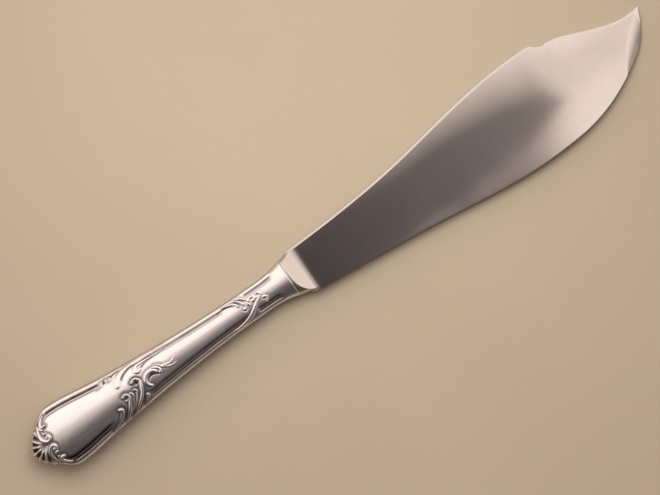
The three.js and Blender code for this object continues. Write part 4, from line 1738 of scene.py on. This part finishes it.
@dataclass
class Studio:
    """The floor that the knife rests on, the light and the camera, squared to that floor."""

    knife_turn: float = 34.73
    view_middle: Point = (-6.0, 0.65)
    view_width: float = 245.1
    camera_distance: float = 600.0
    camera_lean: float = -3.0
    sensor: float = 36.0
    floor_size: float = 6.0
    floor_parts: int = 8
    sky: Colour = (1.0, 0.83, 0.76)
    shade: Colour = (0.0515, 0.041, 0.045)
    sky_strength: float = 1.36
    back_light: Point = (0.111, 0.281)
    back_light_lean: float = 0.816
    back_light_from: float = 0.15
    handle_light_lean: float = 3.0
    handle_light_most: float = 0.058
    tip_light: float = 0.217
    tip_light_half: float = 0.005
    tip_light_blur: float = 0.36
    tip_light_fade: Point = (0.06, 0.125)
    tip_light_least: float = 0.86
    tip_light_lean: float = 0.62
    tip_light_from: float = 0.085
    edge_shade: Point = (-0.082, -0.032)
    glow: float = 0.22
    glow_span: Point = (-0.03, 0.3)
    lamp_place: Axes = (0.02, 0.1, 0.28)
    lamp_colour: Colour = (1.0, 0.97, 0.93)
    lamp_size: float = 0.2
    lamp_power: float = 0.72

    def __post_init__(self) -> None:
        """Work out the floor on which the knife lies: on its handle's belly, back crest and tip."""
        pieces = [piece for piece in bpy.data.objects if piece.type == "MESH"]
        points = np.array([v.co for piece in pieces for v in piece.data.vertices], float)
        blade = np.array([v.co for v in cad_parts["blade"].data.vertices], float)
        belly = points[points[:, 2].argmin()]
        crest = blade[blade[:, 1].argmax()]
        tip = blade[blade[:, 0].argmax()]
        up = np.cross(tip - belly, crest - belly)
        self.up = Vector(up * np.sign(up[2])).normalized()
        self.level = float((points @ np.array(self.up)).min())
        along = Vector((1, 0, 0))
        self.along = (along - self.up * along.dot(self.up)).normalized()
        self.across = self.up.cross(self.along)

    def build_floor(self, board: Material) -> Object:
        """Lay the floor under the knife.

        Args:
            board: The floor's finish.

        Returns:
            The floor's object.
        """
        mesh = bmesh.new()
        parts = self.floor_parts
        bmesh.ops.create_grid(mesh, x_segments=parts, y_segments=parts, size=self.floor_size / 2)
        turn = Matrix((self.along, self.across, self.up)).transposed().to_4x4()
        shift = Matrix.Translation(self.up * self.level)
        bmesh.ops.transform(mesh, matrix=shift @ turn, verts=mesh.verts[:])
        floor = to_object("floor", mesh)
        floor.data.materials.append(board)
        return floor

    def build_sky(self) -> None:
        """Light the scene from a soft sky: bright past the blade's back and tip, dark above and before."""
        world = bpy.data.worlds.new("studio_sky")
        bpy.context.scene.world = world
        nodes = Nodes(world)
        direction = nodes.add("ShaderNodeTexCoord").outputs["Generated"]

        def towards(axis: Vector) -> Socket:
            """Give how far a direction points along an axis."""
            inputs = {0: direction, 1: tuple(axis)}
            return nodes.add("ShaderNodeVectorMath", inputs, operation="DOT_PRODUCT").outputs["Value"]

        back, tip = towards(self.across), towards(self.along)

        # The light past the back comes nearer at the handle's end, and leans over towards the tip.
        behind = nodes.math("MAXIMUM", nodes.math("MULTIPLY", tip, -self.handle_light_lean), 0.0)
        behind = nodes.math("MINIMUM", behind, self.handle_light_most)
        before = nodes.math("MAXIMUM", nodes.math("SUBTRACT", tip, self.back_light_from), 0.0)
        before = nodes.math("MULTIPLY", before, self.back_light_lean)
        ends_back = nodes.math("ADD", back, nodes.math("ADD", behind, before))
        over_back = nodes.ranged(ends_back, self.back_light, (0, 1), True)

        # The light past the tip has a border that is sharp on the back's side and blurs to the edge's.
        short = nodes.math("MAXIMUM", nodes.math("SUBTRACT", self.tip_light_from, back), 0.0)
        reach = nodes.math("ADD", tip, nodes.math("MULTIPLY", short, self.tip_light_lean))
        half = nodes.math("ADD", nodes.math("MULTIPLY", short, self.tip_light_blur), self.tip_light_half)
        past = nodes.math("DIVIDE", nodes.math("SUBTRACT", reach, self.tip_light), half)
        level = nodes.ranged(back, self.tip_light_fade, (1, self.tip_light_least), True)
        over_tip = nodes.math("MULTIPLY", nodes.ranged(past, (-1, 1), (0, 1), True), level)

        # Past the edge the sky is dark, but for a faint glow that grows towards the tip.
        past_edge = nodes.ranged(back, self.edge_shade, (0, 1), True)
        ends = nodes.math("MAXIMUM", over_back, nodes.math("MULTIPLY", over_tip, past_edge))
        bright = nodes.math("MAXIMUM", ends, nodes.ranged(tip, self.glow_span, (0, self.glow), True))
        colour = nodes.mixed(bright, self.shade, self.sky)
        light = nodes.add("ShaderNodeBackground", {"Color": colour, "Strength": self.sky_strength})
        nodes.add("ShaderNodeOutputWorld", {"Surface": light.outputs[0]})

    def build_lamp(self) -> Object:
        """Hang a soft lamp near the floor, so that its light falls off, and out of the metal's mirror.

        Returns:
            The lamp's object.
        """
        data = bpy.data.lights.new("lamp", "AREA")
        data.shape = "DISK"
        data.size = self.lamp_size
        data.energy = self.lamp_power
        data.color = self.lamp_colour
        lamp = linked("lamp", data)
        along, across, up = self.lamp_place
        place = self.along * along + self.across * across + self.up * up
        lamp.location = place
        lamp.rotation_euler = place.to_track_quat("Z", "Y").to_euler()
        lamp.visible_camera = False
        lamp.visible_glossy = False
        return lamp

    def build_camera(self) -> Object:
        """Set the camera above the floor, leaning a little to the back's side and turned to the knife.

        Returns:
            The camera's object.
        """
        data = bpy.data.cameras.new("camera")
        data.sensor_width = self.sensor
        data.lens = self.sensor * self.camera_distance / self.view_width
        camera = linked("camera", data)
        lean = Matrix.Rotation(math.radians(self.camera_lean), 3, self.along)
        turn = Matrix.Rotation(math.radians(-self.knife_turn), 3, self.up)
        right, top, away = (lean @ axis for axis in (turn @ self.along, turn @ self.across, self.up))
        place = Vector((*self.view_middle, 0)) * MM + away * self.camera_distance * MM
        axes = Matrix((right, top, away)).transposed().to_4x4()
        camera.matrix_world = Matrix.Translation(place) @ axes
        bpy.context.scene.camera = camera
        return camera


def dress_solid(node: str, finish: Material) -> None:
    """Give a kept solid its finish.

    Args:
        node: The solid's node.
        finish: Its material.
    """
    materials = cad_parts[node].data.materials
    materials.clear()
    materials.append(finish)
    log.info("%s keeps its solid", node)


def main() -> None:
    """Build the knife's looks in order: shells, blade, kept solids, floor, light and camera."""
    logging.basicConfig(level=logging.INFO, format="%(name)s: %(message)s")
    bpy.context.scene.view_settings.view_transform = "Standard"
    low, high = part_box("handle_front_shell")
    blade_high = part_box("blade")[1]
    flute_overhang = 0.03
    joint_line = 0.15
    satin_margin = 1.0
    butt = round(low.x / MM - flute_overhang, 1)
    mouth = high.x / MM
    handle = StruckHandle(HandleForm(butt, mouth - butt))
    for shell in handle.build(SilverFinish().material()):
        log.info("%s has %d faces", shell.name, len(shell.data.polygons))
    bolster = mouth + joint_line
    blade = ForgedBlade(bolster, round(blade_high.x / MM - bolster + ForgedBlade.tip_blunt, 2))
    satin_end = (bolster + blade.facet_end() + satin_margin) * MM
    forged = blade.build(SteelFinish(satin_end).material())
    log.info("%s has %d faces", forged.name, len(forged.data.polygons))
    solder = PlainMetal(
        "silver_solder", light=(0.72, 0.68, 0.60), dark=(0.30, 0.25, 0.2), roughness=(0.3, 0.5)
    )
    sheet = PlainMetal(
        "cap_silver_sheet", light=(0.86, 0.83, 0.79), dark=(0.55, 0.5, 0.45), roughness=(0.25, 0.42)
    )
    solids = {"seam_solder": solder, "mouth_cap": sheet, "handle_cement": CementFinish()}
    for node, finish in solids.items():
        dress_solid(node, finish.material())
    studio = Studio()
    studio.build_floor(FloorFinish().material())
    studio.build_sky()
    studio.build_lamp()
    studio.build_camera()


if __name__ == "__main__":
    main()
